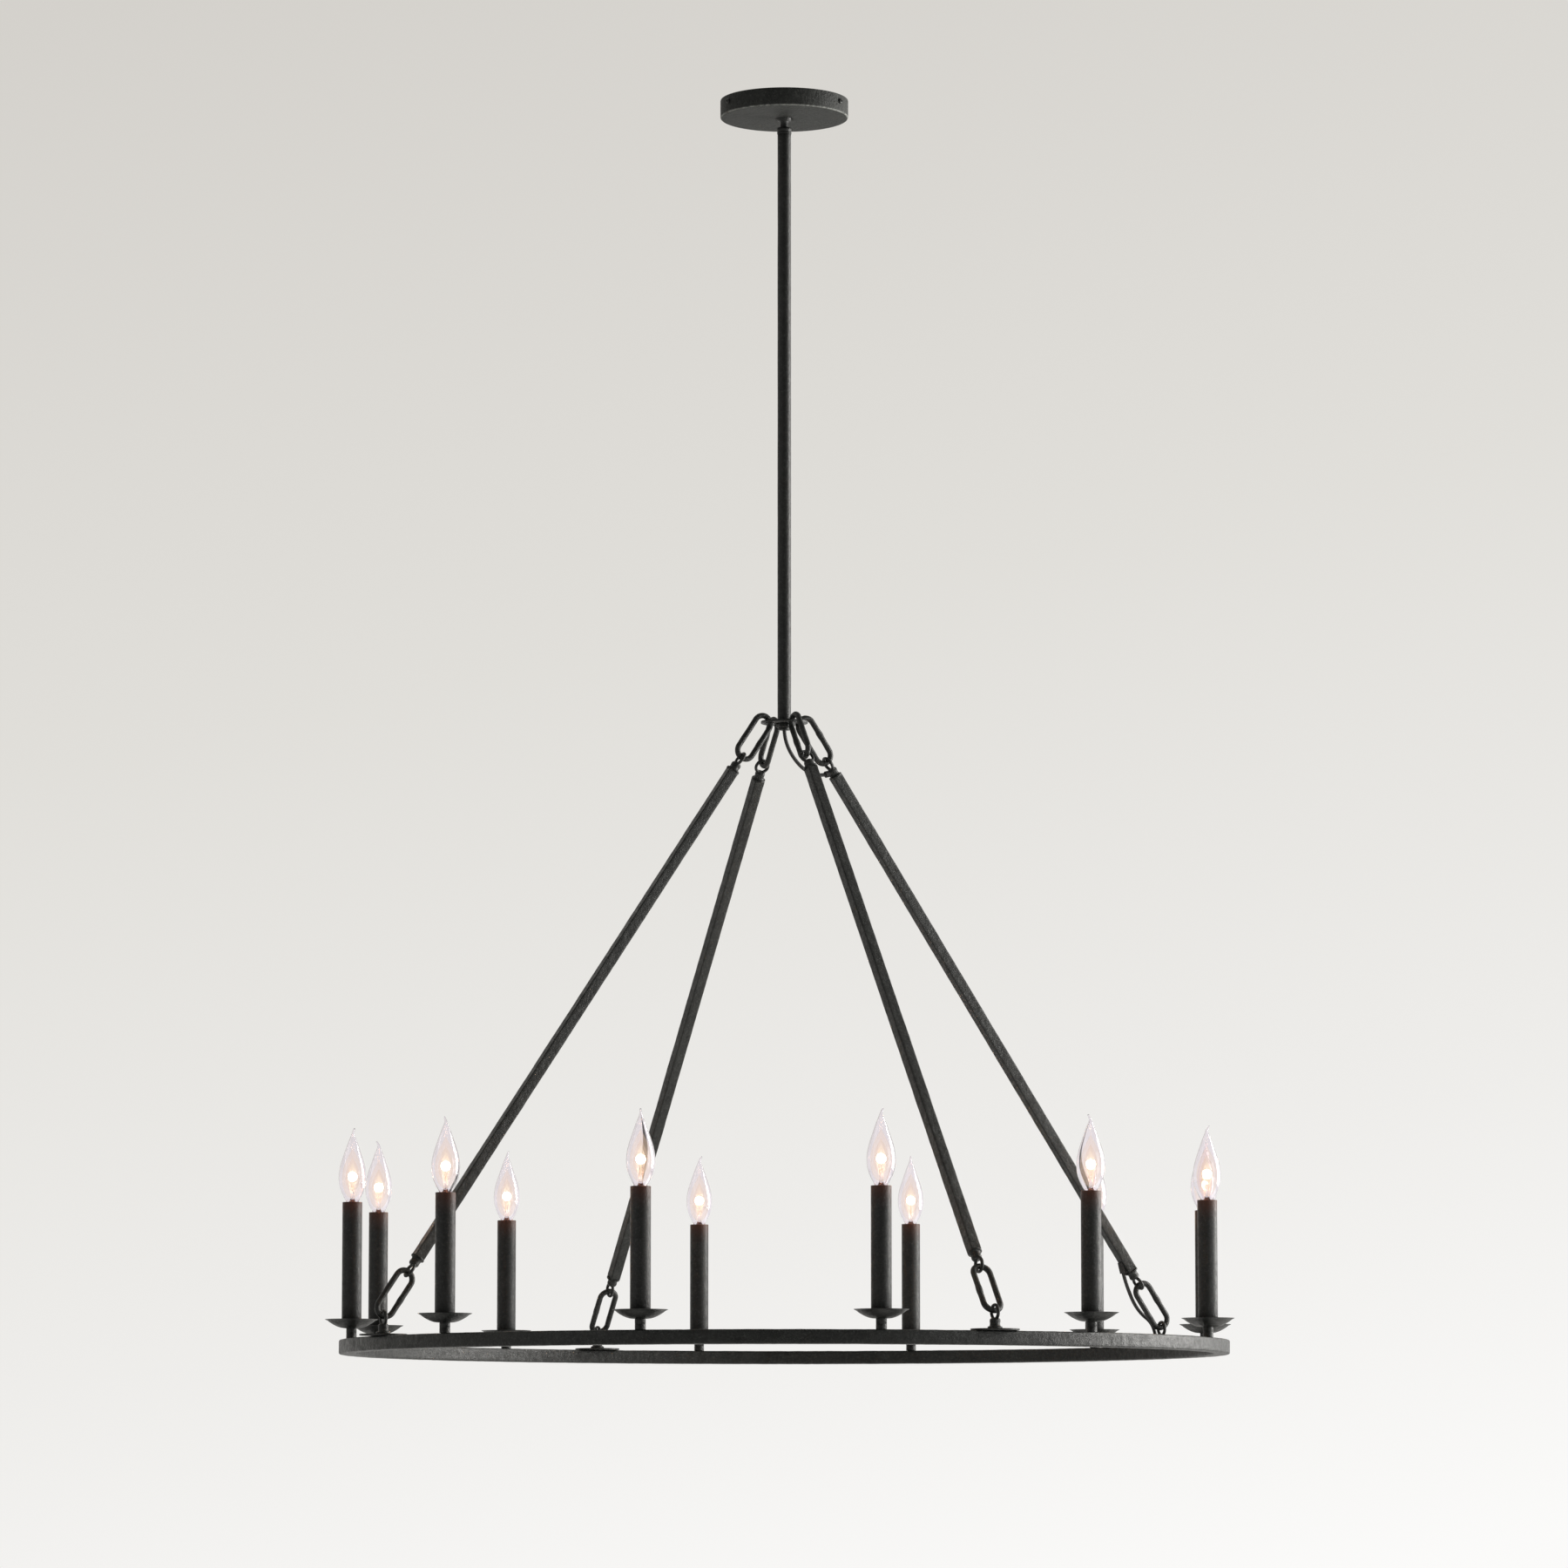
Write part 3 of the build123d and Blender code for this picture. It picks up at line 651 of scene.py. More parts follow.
arm_places = {}
for k in ARM_ANGLES:
    _, reach = arm_lean(LEVEL_BELOW[k])
    top_eye = HUB_HOOK + LINK_LEG + EYE_HOOK + EYE_MEAN_R
    low_arc = reach - RING_HOOK - LINK_LEG
    low_eye = low_arc - EYE_HOOK - EYE_MEAN_R
    arm_places[k] = (top_eye, top_eye + EYE_RISE, low_eye - EYE_RISE, low_eye, low_arc)


# Camera, at the photograph's place

camera_data = bpy.data.cameras.new("camera")
camera_data.lens = 148.6
camera_data.sensor_width = 36
camera_data.clip_end = 200
camera = bpy.data.objects.new("camera", camera_data)
camera.location = (-3.537, -6.941, -1.709)
camera.rotation_euler = (math.radians(96.35), 0, math.radians(-VIEW_TURN))
bpy.context.scene.collection.objects.link(camera)
bpy.context.scene.camera = camera


# Flex


def arm_point(along, inward, side=0):
    """A point down arm 4, inside or beside its middle line."""
    lean, _ = arm_lean(LEVEL_BELOW[4])
    x = WEB_R + along * math.sin(lean) - inward * math.cos(lean)
    z = WEB_Z - along * math.cos(lean) - inward * math.sin(lean)
    return Vector((x, side, z))


def flex_length(name, route, node):
    """One stretch of flex along a smooth line near its route."""
    curve = bpy.data.curves.new(name + "_line", "CURVE")
    curve.dimensions = "3D"
    curve.resolution_u = 24
    spline = curve.splines.new("NURBS")
    spline.points.add(len(route) - 1)
    for point, place in zip(spline.points, route):
        point.co = (*(place * MM), 1)
    spline.order_u = 3
    spline.use_endpoint_u = True
    line = bpy.data.objects.new(name, curve)
    bpy.context.scene.collection.objects.link(line)
    bpy.context.view_layer.update()
    traced = bpy.data.meshes.new_from_object(line)
    bpy.data.meshes.remove(traced)
    curve.bevel_depth = FLEX_R * MM
    curve.bevel_resolution = 5
    curve.use_fill_caps = True
    pick(line)
    bpy.ops.object.convert(target="MESH")
    piece = close_up(new_piece(name))
    coat(piece, sheath)
    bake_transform(piece)
    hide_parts(node)


top_eye, _, tube_low, low_eye, _ = arm_places[4]
entry = arm_point(top_eye + 12.5, 0)
entry_dir = Vector((math.cos(math.radians(15)), 0, math.sin(math.radians(15))))
exit_point = arm_point(tube_low - 14, ARM_SIDE / 2)
exit_dir = (arm_point(1, math.tan(math.radians(20))) - arm_point(0, 0)).normalized()
ring_entry = Vector((RING_MID_R, 14, RING_TOP + FOOT_PLATE_T))
seat = BUSH_LEN - BUSH_STOP
flex_length(
    "flex_to_arm",
    [
        Vector((0, 0, HUB_NIPPLE_LOW + 3)),
        Vector((0, 0, HUB_NIPPLE_LOW - 20)),
        entry - entry_dir * (seat + 24),
        entry - entry_dir * seat,
    ],
    "flex_upper",
)
flex_length(
    "flex_to_ring",
    [
        exit_point + exit_dir * seat,
        exit_point + exit_dir * 25,
        arm_point(low_eye + 30, 15.5, 11),
        ring_entry + Vector((0, 0, 23)),
        ring_entry + Vector((0, 0, 1)),
    ],
    "flex_lower",
)


# Canopy, swivel and rod


def make_canopy():
    out, low, wall, edge = CANOPY_R, -CANOPY_H, CANOPY_WALL, CANOPY_EDGE_R
    profile = [
        (CANOPY_HOLE_R, low + wall),
        (CANOPY_HOLE_R, low + 0.25),
        (CANOPY_HOLE_R + 0.25, low),
        (CANOPY_HOLE_R + 8, low),
        (out - 24, low),
        (out - 8, low),
        (out - edge, low),
        (out - 0.99, low + 0.12),
        (out - 0.47, low + 0.47),
        (out - 0.12, low + 0.99),
        (out, low + edge),
        (out, low + 10),
        (out, -1),
        (out - 0.25, 0),
        (out - wall + 0.2, 0),
        (out - wall, -0.3),
        (out - wall, low + edge),
        (out - edge, low + wall),
        (out - 24, low + wall),
        (CANOPY_HOLE_R, low + wall),
    ]
    piece = turned("canopy_shell", profile, 128, 50)
    finish_piece(piece, canopy_finish, "ceiling_mount", "canopy_black", "canopy")


def make_side_screws():
    head = turned(
        "side_screw",
        [
            (POLE_R, -4.5),
            (1.9, -4.5),
            (1.9, 0),
            (3.25, 0),
            (3.3, 0.5),
            (3.15, 1.2),
            (2.7, 1.85),
            (2.0, 2.25),
            (1.5, 2.35),
            (1.4, 2.2),
            (1.35, 0.9),
            (POLE_R, 0.7),
        ],
        28,
        55,
    )
    for n, angle in enumerate(SIDE_SCREW_ANGLES):
        out = polar(angle, CANOPY_R, SIDE_SCREW_Z, angle) @ Matrix.Rotation(math.pi / 2, 4, "Y")
        screw = copy_of(head, f"side_screw_{n + 1}", out)
        finish_piece(screw, iron_forged, "ceiling_mount", "blackened_iron", "canopy_screws")
    put_away(head)


def make_swivel():
    cup = turned(
        "swivel_cup_turned",
        [
            (4.9, -8.9),
            (8.4, -8.9),
            (8.9, -9.4),
            (8.9, -15),
            (8.9, -21.2),
            (8.75, -22),
            (8.1, -24.4),
            (7.55, -25.4),
            (6.6, -25.5),
            (6.35, -25.3),
            (7.2, -23.6),
            (7.7, -21.4),
            (7.75, -18),
            (7.75, -11.2),
            (7.5, -10.9),
            (4.9, -10.9),
            (4.9, -8.9),
        ],
        64,
        45,
    )
    finish_piece(cup, iron_turned, "swivel", "blackened_iron", "swivel_cup")
    ball = []
    for degrees in range(0, 136, 9):
        a = math.radians(degrees)
        ball.append((BALL_R * math.sin(a) + POLE_R, BALL_Z + BALL_R * math.cos(a)))
    neck = turned(
        "stem_neck_turned",
        ball
        + [
            (4.65, -28),
            (4.6, -30.5),
            (4.6, -33.2),
            (5.0, -33.5),
            (7.4, -33.5),
            (8.2, -33.9),
            (8.7, -34.6),
            (8.8, -35.4),
            (8.8, -38.4),
            (8.6, -38.7),
            (8.6, -39.1),
            (8.8, -39.4),
            (8.8, -41.1),
            (8.6, -41.5),
            (6.5, -41.5),
            (6.5, -55.5),
            (POLE_R, -55.5),
        ],
        64,
        45,
    )
    finish_piece(neck, iron_turned, "stem", "blackened_iron", "stem_neck")


def make_rod():
    steps = 120
    run = HUB_TOP - ROD_TOP
    walls = [(ROD_R - 0.15, ROD_TOP), (ROD_R, ROD_TOP - 0.4)]
    walls += [(ROD_R, ROD_TOP + run * n / steps) for n in range(1, steps)]
    walls += [(ROD_R, HUB_TOP + 0.4), (ROD_R - 0.2, HUB_TOP), (ROD_BORE_R, HUB_TOP)]
    walls += [(ROD_BORE_R, ROD_TOP), (ROD_R - 0.15, ROD_TOP)]
    rod = turned("down_rod", walls, 48, 50)
    swell(rod, long_waves, 0.35, 0.7)
    finish_piece(rod, iron_turned, "stem", "blackened_iron", "rod")


def make_hub():
    plate = turned(
        "hub_disc",
        [
            (ROD_BORE_R, HUB_TOP),
            (HUB_LAND_R, HUB_TOP),
            (HUB_R - 0.7, HUB_TOP),
            (HUB_R - 0.2, HUB_TOP - 0.2),
            (HUB_R, HUB_TOP - 0.8),
            (HUB_R, HUB_TOP - HUB_T + 0.8),
            (HUB_R - 0.2, HUB_TOP - HUB_T + 0.2),
            (HUB_R - 0.7, HUB_TOP - HUB_T),
            (HUB_LAND_R, HUB_TOP - HUB_T),
            (ROD_BORE_R, HUB_TOP - HUB_T),
            (ROD_BORE_R, HUB_TOP),
        ],
        96,
        45,
    )
    drills = []
    for n in range(4):
        clear_selection()
        at = polar(90 * n, HUB_HOLE_CIRCLE, HUB_TOP - HUB_T / 2).to_translation()
        bpy.ops.mesh.primitive_cylinder_add(
            vertices=40, radius=HUB_HOLE_R * MM, depth=4 * HUB_T * MM, location=at
        )
        drills.append(new_piece(f"drill_{n}"))
    drill = joined(drills, "drill")
    apply_modifier(plate, "BOOLEAN", operation="DIFFERENCE", object=drill, solver="EXACT")
    put_away(drill)
    ease_edges(plate, 0.35, 50)
    close_up(plate, 0.002, 35)
    finish_piece(plate, iron_forged, "stem", "blackened_iron", "hub_plate")

    low = HUB_TOP - HUB_T
    nut = turned(
        "hub_nut_turned",
        [
            (ROD_BORE_R, low),
            (9.4, low),
            (HUB_NUT_R, low - 0.6),
            (HUB_NUT_R, low - 4.3),
            (9.3, low - HUB_NUT_H),
            (ROD_BORE_R, low - HUB_NUT_H),
            (ROD_BORE_R, low),
        ],
        6,
        30,
    )
    ease_edges(nut, 0.3, 25)
    close_up(nut, 0.002, 30)
    finish_piece(nut, iron_forged, "stem", "blackened_iron", "hub_nut")


# Links, eyes and arms


def make_link():
    """One hooked link: round wire drawn up one leg, over, down the other and under."""
    clear_selection()
    bpy.ops.mesh.primitive_circle_add(vertices=16, radius=LINK_WIRE_R * MM, location=(0, 0, 0))
    link = new_piece("chain_link")
    edit_all(link)
    bpy.ops.transform.translate(value=(LINK_ARC_R * MM, 0, 0))
    for leg, arc_centre in ((LINK_LEG, (0, 0, LINK_LEG * MM)), (-LINK_LEG, (0, 0, 0))):
        for _ in range(LINK_LEG_STEPS):
            pull(0, 0, leg / LINK_LEG_STEPS)
        bpy.ops.mesh.spin(steps=LINK_ARC_STEPS, angle=math.pi, center=arc_centre, axis=(0, 1, 0))
    close_up(link, 0.02, 60)
    # A welded lap on one leg stands a little proud
    pick_points(link, lambda x, y, z: x > 5 and 0.38 * LINK_LEG < z < 0.52 * LINK_LEG)
    lap = (LINK_ARC_R * MM, 0, 0.45 * LINK_LEG * MM)
    bpy.ops.transform.resize(value=(1.1, 1.13, 1), center_override=lap)
    bpy.ops.object.mode_set(mode="OBJECT")
    return link


def make_eye():
    """One cast eye: ring, neck and flared foot melted into one form."""
    clear_selection()
    bpy.ops.mesh.primitive_torus_add(
        major_radius=EYE_MEAN_R * MM,
        minor_radius=EYE_WIRE_R * MM,
        major_segments=64,
        minor_segments=20,
        rotation=(math.pi / 2, 0, 0),
    )
    loop = new_piece("eye_loop")
    bpy.ops.object.transform_apply(location=True, rotation=True, scale=True)
    post = turned(
        "eye_post",
        [
            (POLE_R, -18.7),
            (8.1, -18.7),
            (8.5, -18.3),
            (8.5, -16.7),
            (8.1, -16.2),
            (6.6, -15.9),
            (6.0, -14.6),
            (5.85, -12.8),
            (6.1, -10.8),
            (6.2, -9.6),
            (5.9, -8.2),
            (4.9, -7.0),
            (POLE_R, -6.6),
        ],
        48,
    )
    eye = joined([loop, post], "cast_eye")
    apply_modifier(eye, "REMESH", mode="VOXEL", voxel_size=0.42 * MM)
    apply_modifier(eye, "SMOOTH", factor=0.5, iterations=3)
    close_up(eye, 0.001, 60)
    return eye


def make_arm(k, bar_length):
    """One square bar with softened corners and hammered faces, along its own Z."""
    clear_selection()
    bpy.ops.mesh.primitive_plane_add(size=ARM_SIDE * MM, location=(0, 0, 0))
    bar = new_piece(f"arm_bar_{k}")
    edit_all(bar)
    soften_section(bar, ARM_CORNER_R, 4)
    count = round(bar_length / ARM_STEP)
    for _ in range(count):
        pull(0, 0, bar_length / count)
    close_up(bar, 0.002, 38)
    swell(bar, forge_marks, 0.5, 0.8)
    swell(bar, long_waves, 0.4, 0.75)
    return bar


def make_arms():
    """Four arms with their links and eyes, and the eyes that stand on the ring."""
    link = make_link()
    eye = make_eye()
    for k in ARM_ANGLES:
        top_eye, tube_top, tube_low, low_eye, low_arc = arm_places[k]
        body = f"arm_{k}"
        uneven = Matrix.Rotation(math.pi, 4, "Y") if k % 2 else Matrix.Identity(4)
        middle = Matrix.Translation((0, 0, LINK_LEG / 2 * MM))
        twist = middle @ uneven @ middle.inverted()
        upper = copy_of(link, f"upper_link_{k}", arm_frame(k, HUB_HOOK, True) @ twist)
        lower = copy_of(link, f"lower_link_{k}", arm_frame(k, low_arc, not LEVEL_BELOW[k]) @ twist)
        for piece in (upper, lower):
            swell(piece, forge_marks, 0.55, 0.6)
            finish_piece(piece, iron_forged, body, "blackened_iron", f"chain_links_{k}")
        eyes = (
            copy_of(eye, f"upper_eye_{k}", arm_frame(k, top_eye, False, True)),
            copy_of(eye, f"lower_eye_{k}", arm_frame(k, low_eye, LEVEL_BELOW[k])),
        )
        for piece in eyes:
            swell(piece, forge_marks, 0.5, 0.6)
            finish_piece(piece, iron_forged, body, "blackened_iron", f"arm_eyes_{k}")
        bar = make_arm(k, tube_low - tube_top)
        set_down(bar, arm_frame(k, tube_top))
        finish_piece(bar, iron_bar, body, "blackened_iron", f"arm_tube_{k}")
    for k, angle in ARM_ANGLES.items():
        turn = angle + (0 if LEVEL_BELOW[k] else 90)
        at = polar(angle, RING_MID_R, RING_TOP + FOOT_PLATE_T + EYE_RISE, turn)
        piece = copy_of(eye, f"ring_eye_{k}", at)
        swell(piece, forge_marks, 0.5, 0.6)
        finish_piece(piece, iron_forged, "ring", "blackened_iron", "ring_eyes")
    put_away(link)
    put_away(eye)


# Ring


def make_ring():
    """The rolled bar, and the round plates that the eyes stand on."""
    clear_selection()
    bpy.ops.mesh.primitive_plane_add(size=MM, location=(0, 0, 0), rotation=(math.pi / 2, 0, 0))
    ring = new_piece("rolled_ring")
    bpy.ops.object.transform_apply(location=True, rotation=True, scale=True)
    edit_all(ring)
    bpy.ops.transform.resize(value=(RING_W, 1, RING_H), center_override=(0, 0, 0))
    soften_section(ring, RING_CORNER_R, 5)
    bpy.ops.mesh.delete(type="ONLY_FACE")
    bpy.ops.mesh.select_all(action="SELECT")
    middle = (RING_TOP - RING_H / 2) * MM
    bpy.ops.transform.translate(value=(RING_MID_R * MM, 0, middle))
    bpy.ops.mesh.spin(
        steps=RING_STEPS, angle=2 * math.pi, center=(0, 0, middle), axis=(0, 0, 1)
    )
    close_up(ring, 0.02, 38)
    swell(ring, forge_marks, 0.45, 0.85)
    swell(ring, long_waves, 0.4, 0.8)
    finish_piece(ring, iron_bar, "ring", "blackened_iron", "ring")

    plate = turned(
        "foot_plate",
        [
            (POLE_R, 0),
            (FOOT_PLATE_R - 0.5, 0),
            (FOOT_PLATE_R, 0.4),
            (FOOT_PLATE_R, 1.4),
            (FOOT_PLATE_R - 0.5, 1.95),
            (FOOT_PLATE_R - 1.6, FOOT_PLATE_T),
            (14, FOOT_PLATE_T),
            (POLE_R, FOOT_PLATE_T),
        ],
        72,
        35,
    )
    for k, angle in ARM_ANGLES.items():
        disc = copy_of(plate, f"foot_plate_{k}", polar(angle, RING_MID_R, RING_TOP))
        finish_piece(disc, iron_bar, "ring", "blackened_iron", "foot_plates")
    put_away(plate)


# Candles


def make_candles():
    """Twelve stems with their dishes and sleeves, each modelled at zero and set on the ring."""
    stem = turned(
        "candle_stem",
        [
            (POLE_R, -4.6),
            (4.75, -4.6),
            (4.75, 0),
            (6.0, 0),
            (6.2, 0.2),
            (6.2, 5.6),
            (6.0, 5.85),
            (6.0, 6.2),
            (6.2, 6.45),
            (6.2, 11.8),
            (6.0, 12),
            (4.75, 12),
            (4.75, 18.6),
            (4.4, 19),
            (POLE_R, 19),
        ],
        40,
    )
    dish = turned(
        "drip_dish",
        [
            (4.8, 12),
            (7, 12),
            (9.5, 12.1),
            (12.2, 12.5),
            (14.7, 13.2),
            (17.2, 14.1),
            (19.55, 15.2),
            (21.85, 16.4),
            (24.05, 17.75),
            (26.15, 19.2),
            (28.1, 20.8),
            (30.2, 21.75),
            (31.2, 22.25),
            (31.5, 22.48),
            (31.2, 22.6),
            (29.8, 22.3),
            (27.2, 21.25),
            (25.25, 19.8),
            (23.25, 18.5),
            (21.2, 17.3),
            (19.0, 16.2),
            (16.8, 15.2),
            (14.5, 14.35),
            (12.2, 13.6),
            (7, 13.2),
            (4.8, 13.2),
            (4.8, 12),
        ],
        72,
        30,
    )
    out, bore, low, high = SLEEVE_R, SLEEVE_R - SLEEVE_WALL, SLEEVE_FOOT, SLEEVE_TOP
    sleeve = turned(
        "candle_sleeve",
        [
            (bore, low),
            (out - 0.15, low),
            (out, low + 0.3),
            (out, low + 40),
            (out, low + 90),
            (out, high - 12),
            (out, high - 0.45),
            (out - 0.2, high - 0.1),
            (out - 0.5, high),
            (out - 0.8, high - 0.1),
            (bore, high - 0.45),
            (bore, high - 12),
            (bore, low + 60),
            (bore, low),
        ],
        64,
        45,
    )
    masters = (
        (stem, iron_turned, "blackened_iron", "candle_stems"),
        (dish, iron_turned, "blackened_iron", "drip_dishes"),
        (sleeve, iron_sleeve, "sleeve_black", "sleeves"),
    )
    for n in range(CANDLE_COUNT):
        for master, finish, slot, node in masters:
            piece = copy_of(master, f"{master.name}_{n + 1}", candle_place(n, RING_TOP))
            finish_piece(piece, finish, "ring", slot, node)
    for master, *_ in masters:
        put_away(master)


def make_glass():
    """Blown flame: a turned bulb drawn out into a thin tail that leans over."""
    body = [
        (POLE_R, 0.05),
        (5.6, 0.05),
        (6.2, 0.5),
        (7.3, 3),
        (8.95, 6),
        (10.55, 9),
        (12.05, 12),
        (13.6, 15.5),
        (14.8, 19),
        (15.8, 23),
        (16.35, 27),
        (16.52, 31),
        (16.42, 35),
        (16.0, 39.3),
        (15.2, 44),
        (14.05, 48.7),
        (12.65, 53.4),
        (11.1, 58),
        (9.45, 62.7),
        (7.85, 67.4),
        (6.25, 72),
        (4.65, 76.2),
        (3.3, 79.3),
        (2.3, 82),
    ]
    bulb = drawn_up("flame_glass", body, GLASS_SIDES)
    radius, height = body[-1]
    lean = 0
    for next_radius, rise, step, tilt in (
        (1.75, 1.9, 0.2, 10),
        (1.45, 1.8, 0.55, 10),
        (1.2, 1.7, 0.85, 10),
        (1.0, 1.4, 0.9, 6),
        (0.85, 0.8, 0.6, 4),
        (0.45, 0.25, 0.2, 0),
        (0.02, 0.05, 0.04, 0),
    ):
        lean += step
        height += rise
        pull(step, 0, rise)
        centre = (lean * MM, 0, height * MM)
        ratio = next_radius / radius
        bpy.ops.transform.resize(value=(ratio, ratio, ratio), center_override=centre)
        radius = next_radius
        if tilt:
            bpy.ops.transform.rotate(
                value=math.radians(-tilt), orient_axis="Y", center_override=centre
            )
    close_up(bulb, 0.02, 70)
    apply_modifier(bulb, "SOLIDIFY", thickness=GLASS_WALL * MM, offset=-1)
    bpy.ops.object.shade_smooth()
    return bulb


def make_press():
    """Glass press that holds the leads: a round foot, pinched flat at the top."""
    press = turned(
        "glass_press",
        [
            (POLE_R, 0.7),
            (4.6, 0.7),
            (4.4, 2.5),
            (3.1, 5),
            (2.2, 8),
            (1.9, 12),
            (1.9, 16),
            (2.3, 18.5),
            (2.5, 20),
            (1.6, 21.2),
            (POLE_R, 21.5),
        ],
        28,
        60,
    )
    pick_points(press, lambda x, y, z: z > 15)
    bpy.ops.transform.resize(value=(1.25, 0.5, 1), center_override=(0, 0, 0))
    bpy.ops.object.mode_set(mode="OBJECT")
    return press


def drawn_wire(radius, start, steps):
    clear_selection()
    bpy.ops.mesh.primitive_circle_add(vertices=8, radius=radius * MM, location=(0, 0, 0))
    lead = new_piece("lead")
    edit_all(lead)
    bpy.ops.transform.translate(value=[c * MM for c in start])
    for step in steps:
        pull(*step)
    bpy.ops.mesh.edge_face_add()
    return close_up(lead, 0.001, 60)


def make_leads():
    """Two leads that spread to the filament's ends, and a thin prop under its middle."""
    spread = ((0.1, 5), (0.5, 2.5), (1.3, 3), (1.6, 3.5), (1.0, 3.5), (0.2, 2))
    rise = ((0, 5), (0.3, 5), (0.3, 4), (-0.6, 2.5))
    leads = [
        drawn_wire(0.3, (side * 1.4, 0, 15), [(side * dx, 0, dz) for dx, dz in spread])
        for side in (-1, 1)
    ]
    leads.append(drawn_wire(0.22, (0, 0, 19), [(0, dy, dz) for dy, dz in rise]))
    return joined(leads, "lead_wires")


def make_filament():
    """A fine coil between the lead tips, arched over its middle prop."""
    clear_selection()
    bpy.ops.mesh.primitive_circle_add(
        vertices=6, radius=COIL_WIRE_R * MM, location=(0, 0, 0), rotation=(math.pi / 2, 0, 0)
    )
    coil = new_piece("filament")
    bpy.ops.object.transform_apply(location=True, rotation=True, scale=True)
    edit_all(coil)
    bpy.ops.transform.translate(value=(COIL_R * MM, 0, 0))
    bpy.ops.object.mode_set(mode="OBJECT")
    apply_modifier(
        coil,
        "SCREW",
        axis="Z",
        angle=2 * math.pi,
        screw_offset=COIL_PITCH * MM,
        iterations=COIL_TURNS,
        steps=10,
        render_steps=10,
        use_normal_calculate=True,
    )
    to_middle = Matrix.Translation((0, 0, -COIL_PITCH * COIL_TURNS / 2 * MM))
    set_down(coil, Matrix.Rotation(math.pi / 2, 4, "Y") @ to_middle)
    arch = {"deform_method": "BEND", "deform_axis": "Y", "angle": math.radians(55)}
    apply_modifier(coil, "SIMPLE_DEFORM", **arch)
    close_up(coil, 0.001, 60)
    low = min(v.co.z for v in coil.data.vertices)
    set_down(coil, Matrix.Translation((0, 0, COIL_LOW * MM - low)))
    return coil


def make_glow(name, shells):
    """Thin flame-shaped shells of painted glow round the filament."""
    made = []
    tip, round_steps, tail_steps = 0.02, 8, 12
    for wide, below, above, low in shells:
        profile = [(tip, low)]
        for step in range(1, round_steps + 1):
            a = math.pi / 2 * step / round_steps
            profile.append((wide * math.sin(a), low + below * (1 - math.cos(a))))
        for step in range(1, tail_steps + 1):
            t = step / tail_steps
            profile.append((max(tip, wide * (1 - t * t) ** 1.15), low + below + above * t))
        made.append(turned(name, profile, 32, 80))
    return joined(made, name)


def make_lamps():
    """Twelve lamps; glass and glow throw no shadow, so that the flame's light gets out."""
    core, mid, haze = glows
    masters = (
        (make_glass(), glass, "lamp_glass"),
        (make_press(), glass, "lamp_glass"),
        (make_leads(), wire, "zinc_steel"),
        (make_filament(), lamp_glow, "lamp_glass"),
        (make_glow("glow_core", [(3.2, 4, 9, 28.5)]), core, "lamp_glass"),
        (make_glow("glow_mid", [(5.6, 8, 17, 24)]), mid, "lamp_glass"),
        (make_glow("glow_haze", [(8.6, 15, 25, 16), (12.4, 24, 36, 7)]), haze, "lamp_glass"),
    )
    for n, turn in enumerate(TAIL_TURN):
        at = candle_place(n, RING_TOP + LAMP_SEAT, turn)
        for master, finish, slot in masters:
            piece = copy_of(master, f"{master.name}_{n + 1}", at)
            stands_for = (f"lamp_glass_{n + 1}",) if master.name == "flame_glass" else ()
            finish_piece(piece, finish, f"lamp_{n + 1}", slot, *stands_for)
            if finish in (glass, *glows):
                piece.visible_shadow = False
    for master, *_ in masters:
        put_away(master)


make_canopy()
make_side_screws()
make_swivel()
make_rod()
make_hub()
make_arms()
make_ring()
make_candles()
make_lamps()

# Nodes that keep their own shape
own_shape = {
    "mounting_plate": zinc,
    "nipple": zinc,
    "nipple_nut": zinc,
    "stem_nuts": zinc,
    "hub_nipple": iron_turned,
    "sockets": moulding,
    "arm_bushes": rubber,
    "ring_bush": rubber,
}
for n in range(CANDLE_COUNT):
    own_shape[f"lamp_base_{n + 1}"] = brass
for node, finish in own_shape.items():
    coat(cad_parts[node], finish)


# Studio

# The photograph's right, and the way it looks
view_turn = math.radians(VIEW_TURN)
RIGHT = Vector((math.cos(-view_turn), math.sin(-view_turn), 0))
AWAY = Vector((math.sin(view_turn), math.cos(view_turn), 0))

clear_selection()
bpy.ops.mesh.primitive_plane_add(size=FLOOR_SIZE, location=(0, 0, FLOOR_Z))
floor = new_piece("floor")
floor_finish, f = material("studio_floor")
floor_tone = f.mix(f.noise(f.place, 0.6, 3), (0.8, 0.79, 0.77), (0.84, 0.83, 0.81))
# Far out it is as pale as the wall that it runs up to
far = f.length(f.place)
side = f.along(f.place, RIGHT) / far
at_wall = f.ramp(f.band(side, -1, 0.2), (0.0, (0.52, 0.51, 0.485)), (1.0, (0.805, 0.8, 0.79)))
pale = f.mix(f.band(far, 3.2, 15), (0.32, 0.316, 0.307), at_wall)
seen = f.ray("Camera") + f.ray("Glossy") + f.ray("Transmission")
shade(
    f,
    Base_Color=floor_tone,
    Roughness=0.8,
    Specular_IOR_Level=0.2,
    Emission_Color=f.mix(f.band(seen, 0, 1), (0, 0, 0), pale),
    Emission_Strength=1.0,
)
coat(floor, floor_finish)


def soft_box(name, at, aim, size, power, colour):
    data = bpy.data.lights.new(name, "AREA")
    data.shape = "RECTANGLE"
    data.size, data.size_y = size
    data.energy = power
    data.color = colour
    lamp = bpy.data.objects.new(name, data)
    lamp.visible_transmission = False
    lamp.location = at
    lamp.rotation_euler = (aim - at).to_track_quat("-Z", "Y").to_euler()
    bpy.context.scene.collection.objects.link(lamp)


def studio_place(right, away, z):
    """A place in metres, as the photograph sees it."""
    return RIGHT * right + AWAY * away + Vector((0, 0, z))


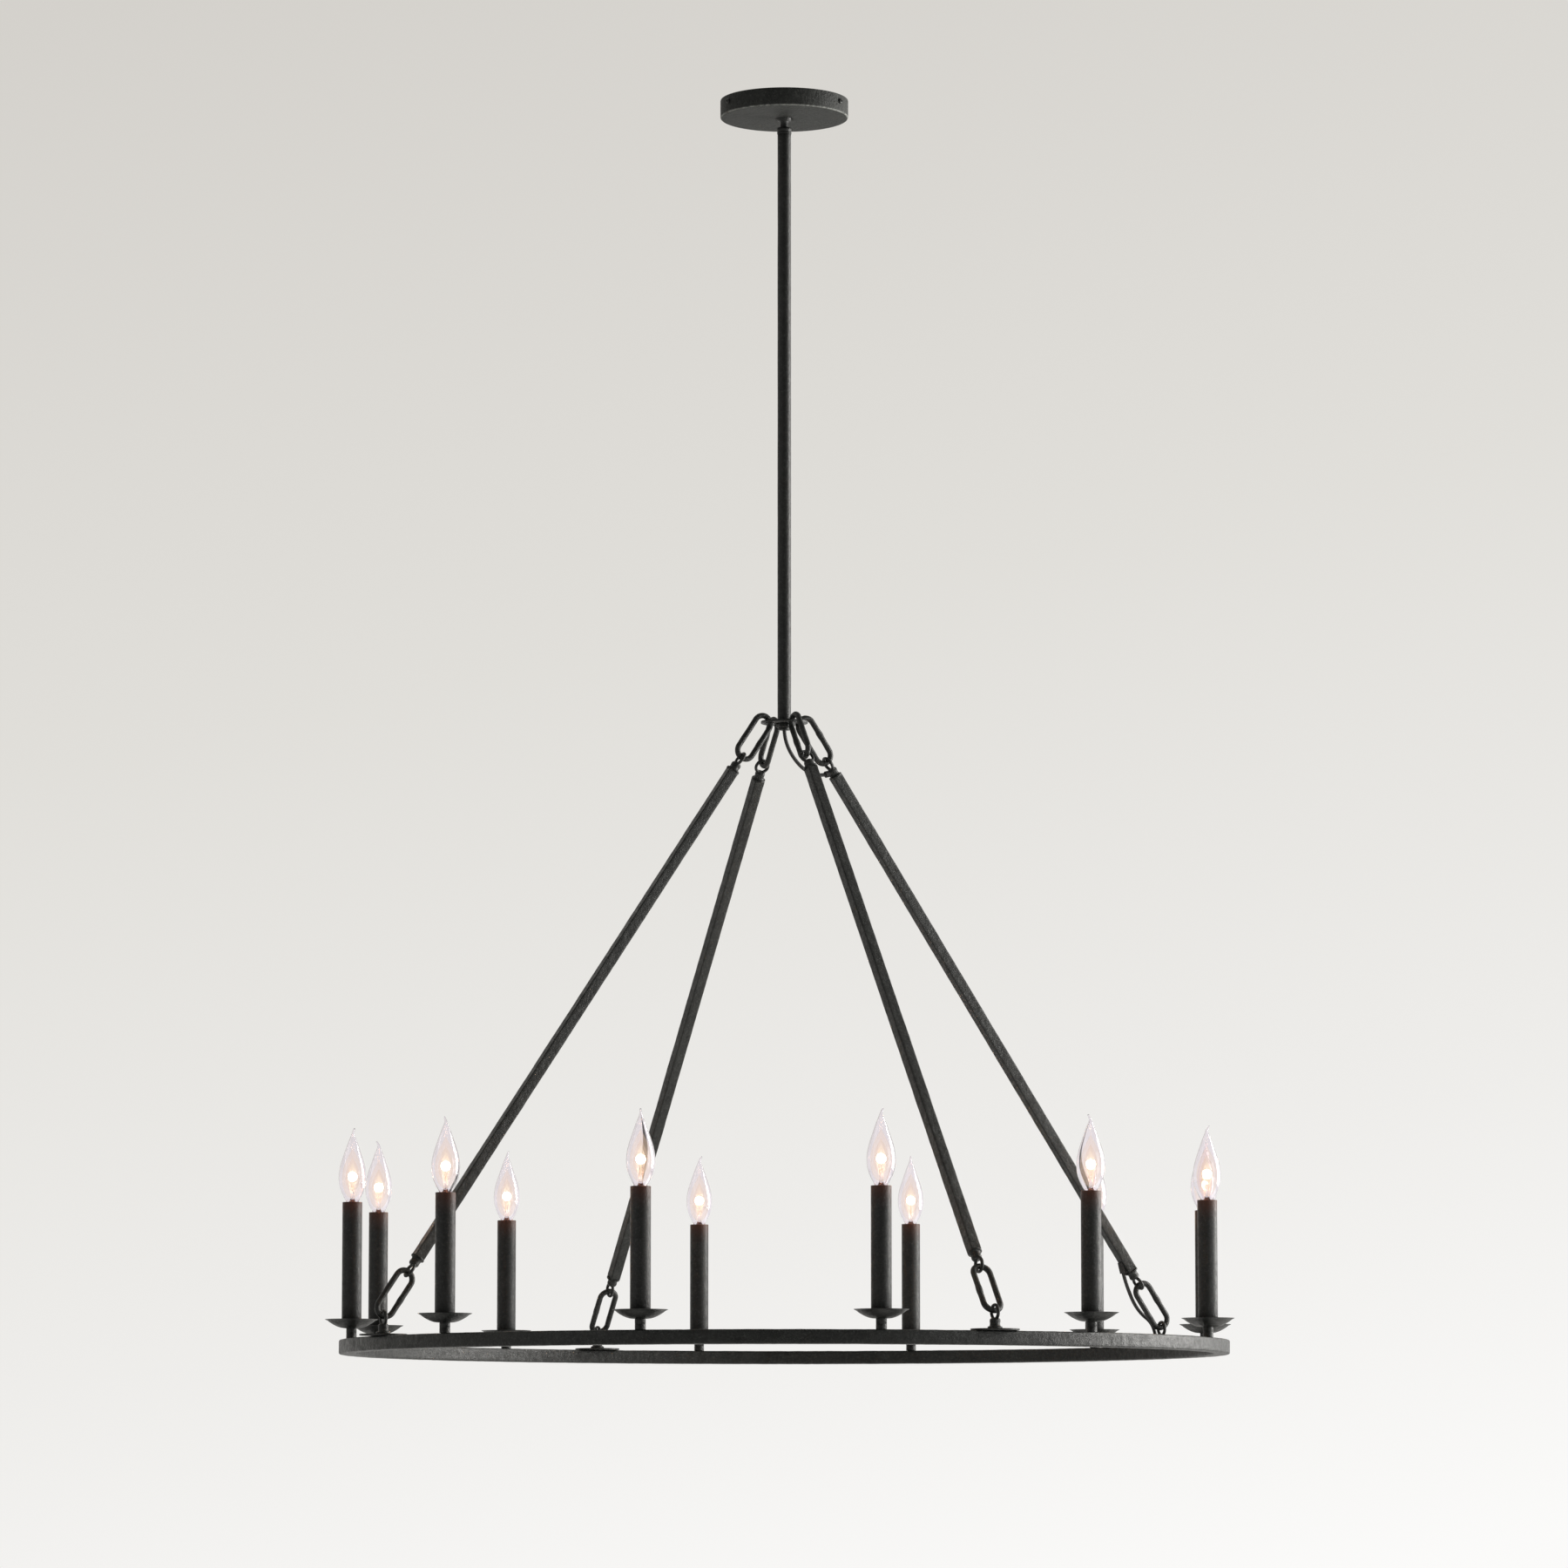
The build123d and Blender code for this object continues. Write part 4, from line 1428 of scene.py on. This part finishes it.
middle = studio_place(0, 0, -1.0)
candles = studio_place(0.3, 0, -1.4)
soft_box("window", studio_place(3.5, 0.9, -0.6), middle, (2.2, 3.2), 250, (1, 0.98, 0.95))
soft_box("near_side", studio_place(1.55, -1.1, -1.25), candles, (0.7, 1.2), 7, (1, 0.99, 0.97))
soft_box("fill", studio_place(-3.2, -2.6, -0.4), middle, (2.5, 2.5), 12, (1, 1, 1))

for n in range(CANDLE_COUNT):
    data = bpy.data.lights.new(f"flame_{n + 1}", "POINT")
    data.energy = 0.14
    data.shadow_soft_size = 0.006
    data.color = (1, 0.56, 0.32)
    lamp = bpy.data.objects.new(f"flame_{n + 1}", data)
    lamp.location = candle_place(n, RING_TOP + LAMP_SEAT + FLAME_Z).to_translation()
    bpy.context.scene.collection.objects.link(lamp)

world = bpy.data.worlds.new("studio")
bpy.context.scene.world = world
world.use_nodes = True
sky = Finish(world.node_tree)
looking = sky.add("ShaderNodeTexCoord", out=0)
height = sky.split(looking, "Z")
to_right = sky.along(looking, RIGHT)
to_back = sky.along(looking, AWAY)
# Pale wall, a little darker towards the ceiling, lightest low on the right
wall = sky.ramp(
    sky.band(height + to_right * -0.22, -0.03, 0.25),
    (0.0, (0.965, 0.96, 0.95)),
    (0.25, (0.86, 0.85, 0.83)),
    (0.6, (0.75, 0.735, 0.7)),
    (1.0, (0.66, 0.64, 0.605)),
)
# Iron and glass mirror it dimmer behind the camera, and soft light comes from the right
dim = sky.band(to_back, -0.9, 0.5, 0.2, 1.0)
backdrop = sky.mix(1.0, wall, dim, "MULTIPLY")
mirrored = sky.band(sky.ray("Glossy") + sky.ray("Transmission"), 0, 1)
ambient = sky.mix(sky.band(to_right, -0.6, 1.0), (0.12, 0.12, 0.12), (0.38, 0.38, 0.37))
unseen = sky.mix(mirrored, ambient, backdrop)
studio = sky.mix(sky.ray("Camera"), unseen, wall)
surround = sky.add("ShaderNodeBackground", None, {0: studio, 1: 1.0})
sky.add("ShaderNodeOutputWorld", None, {0: surround})

bpy.context.scene.view_settings.view_transform = "Standard"
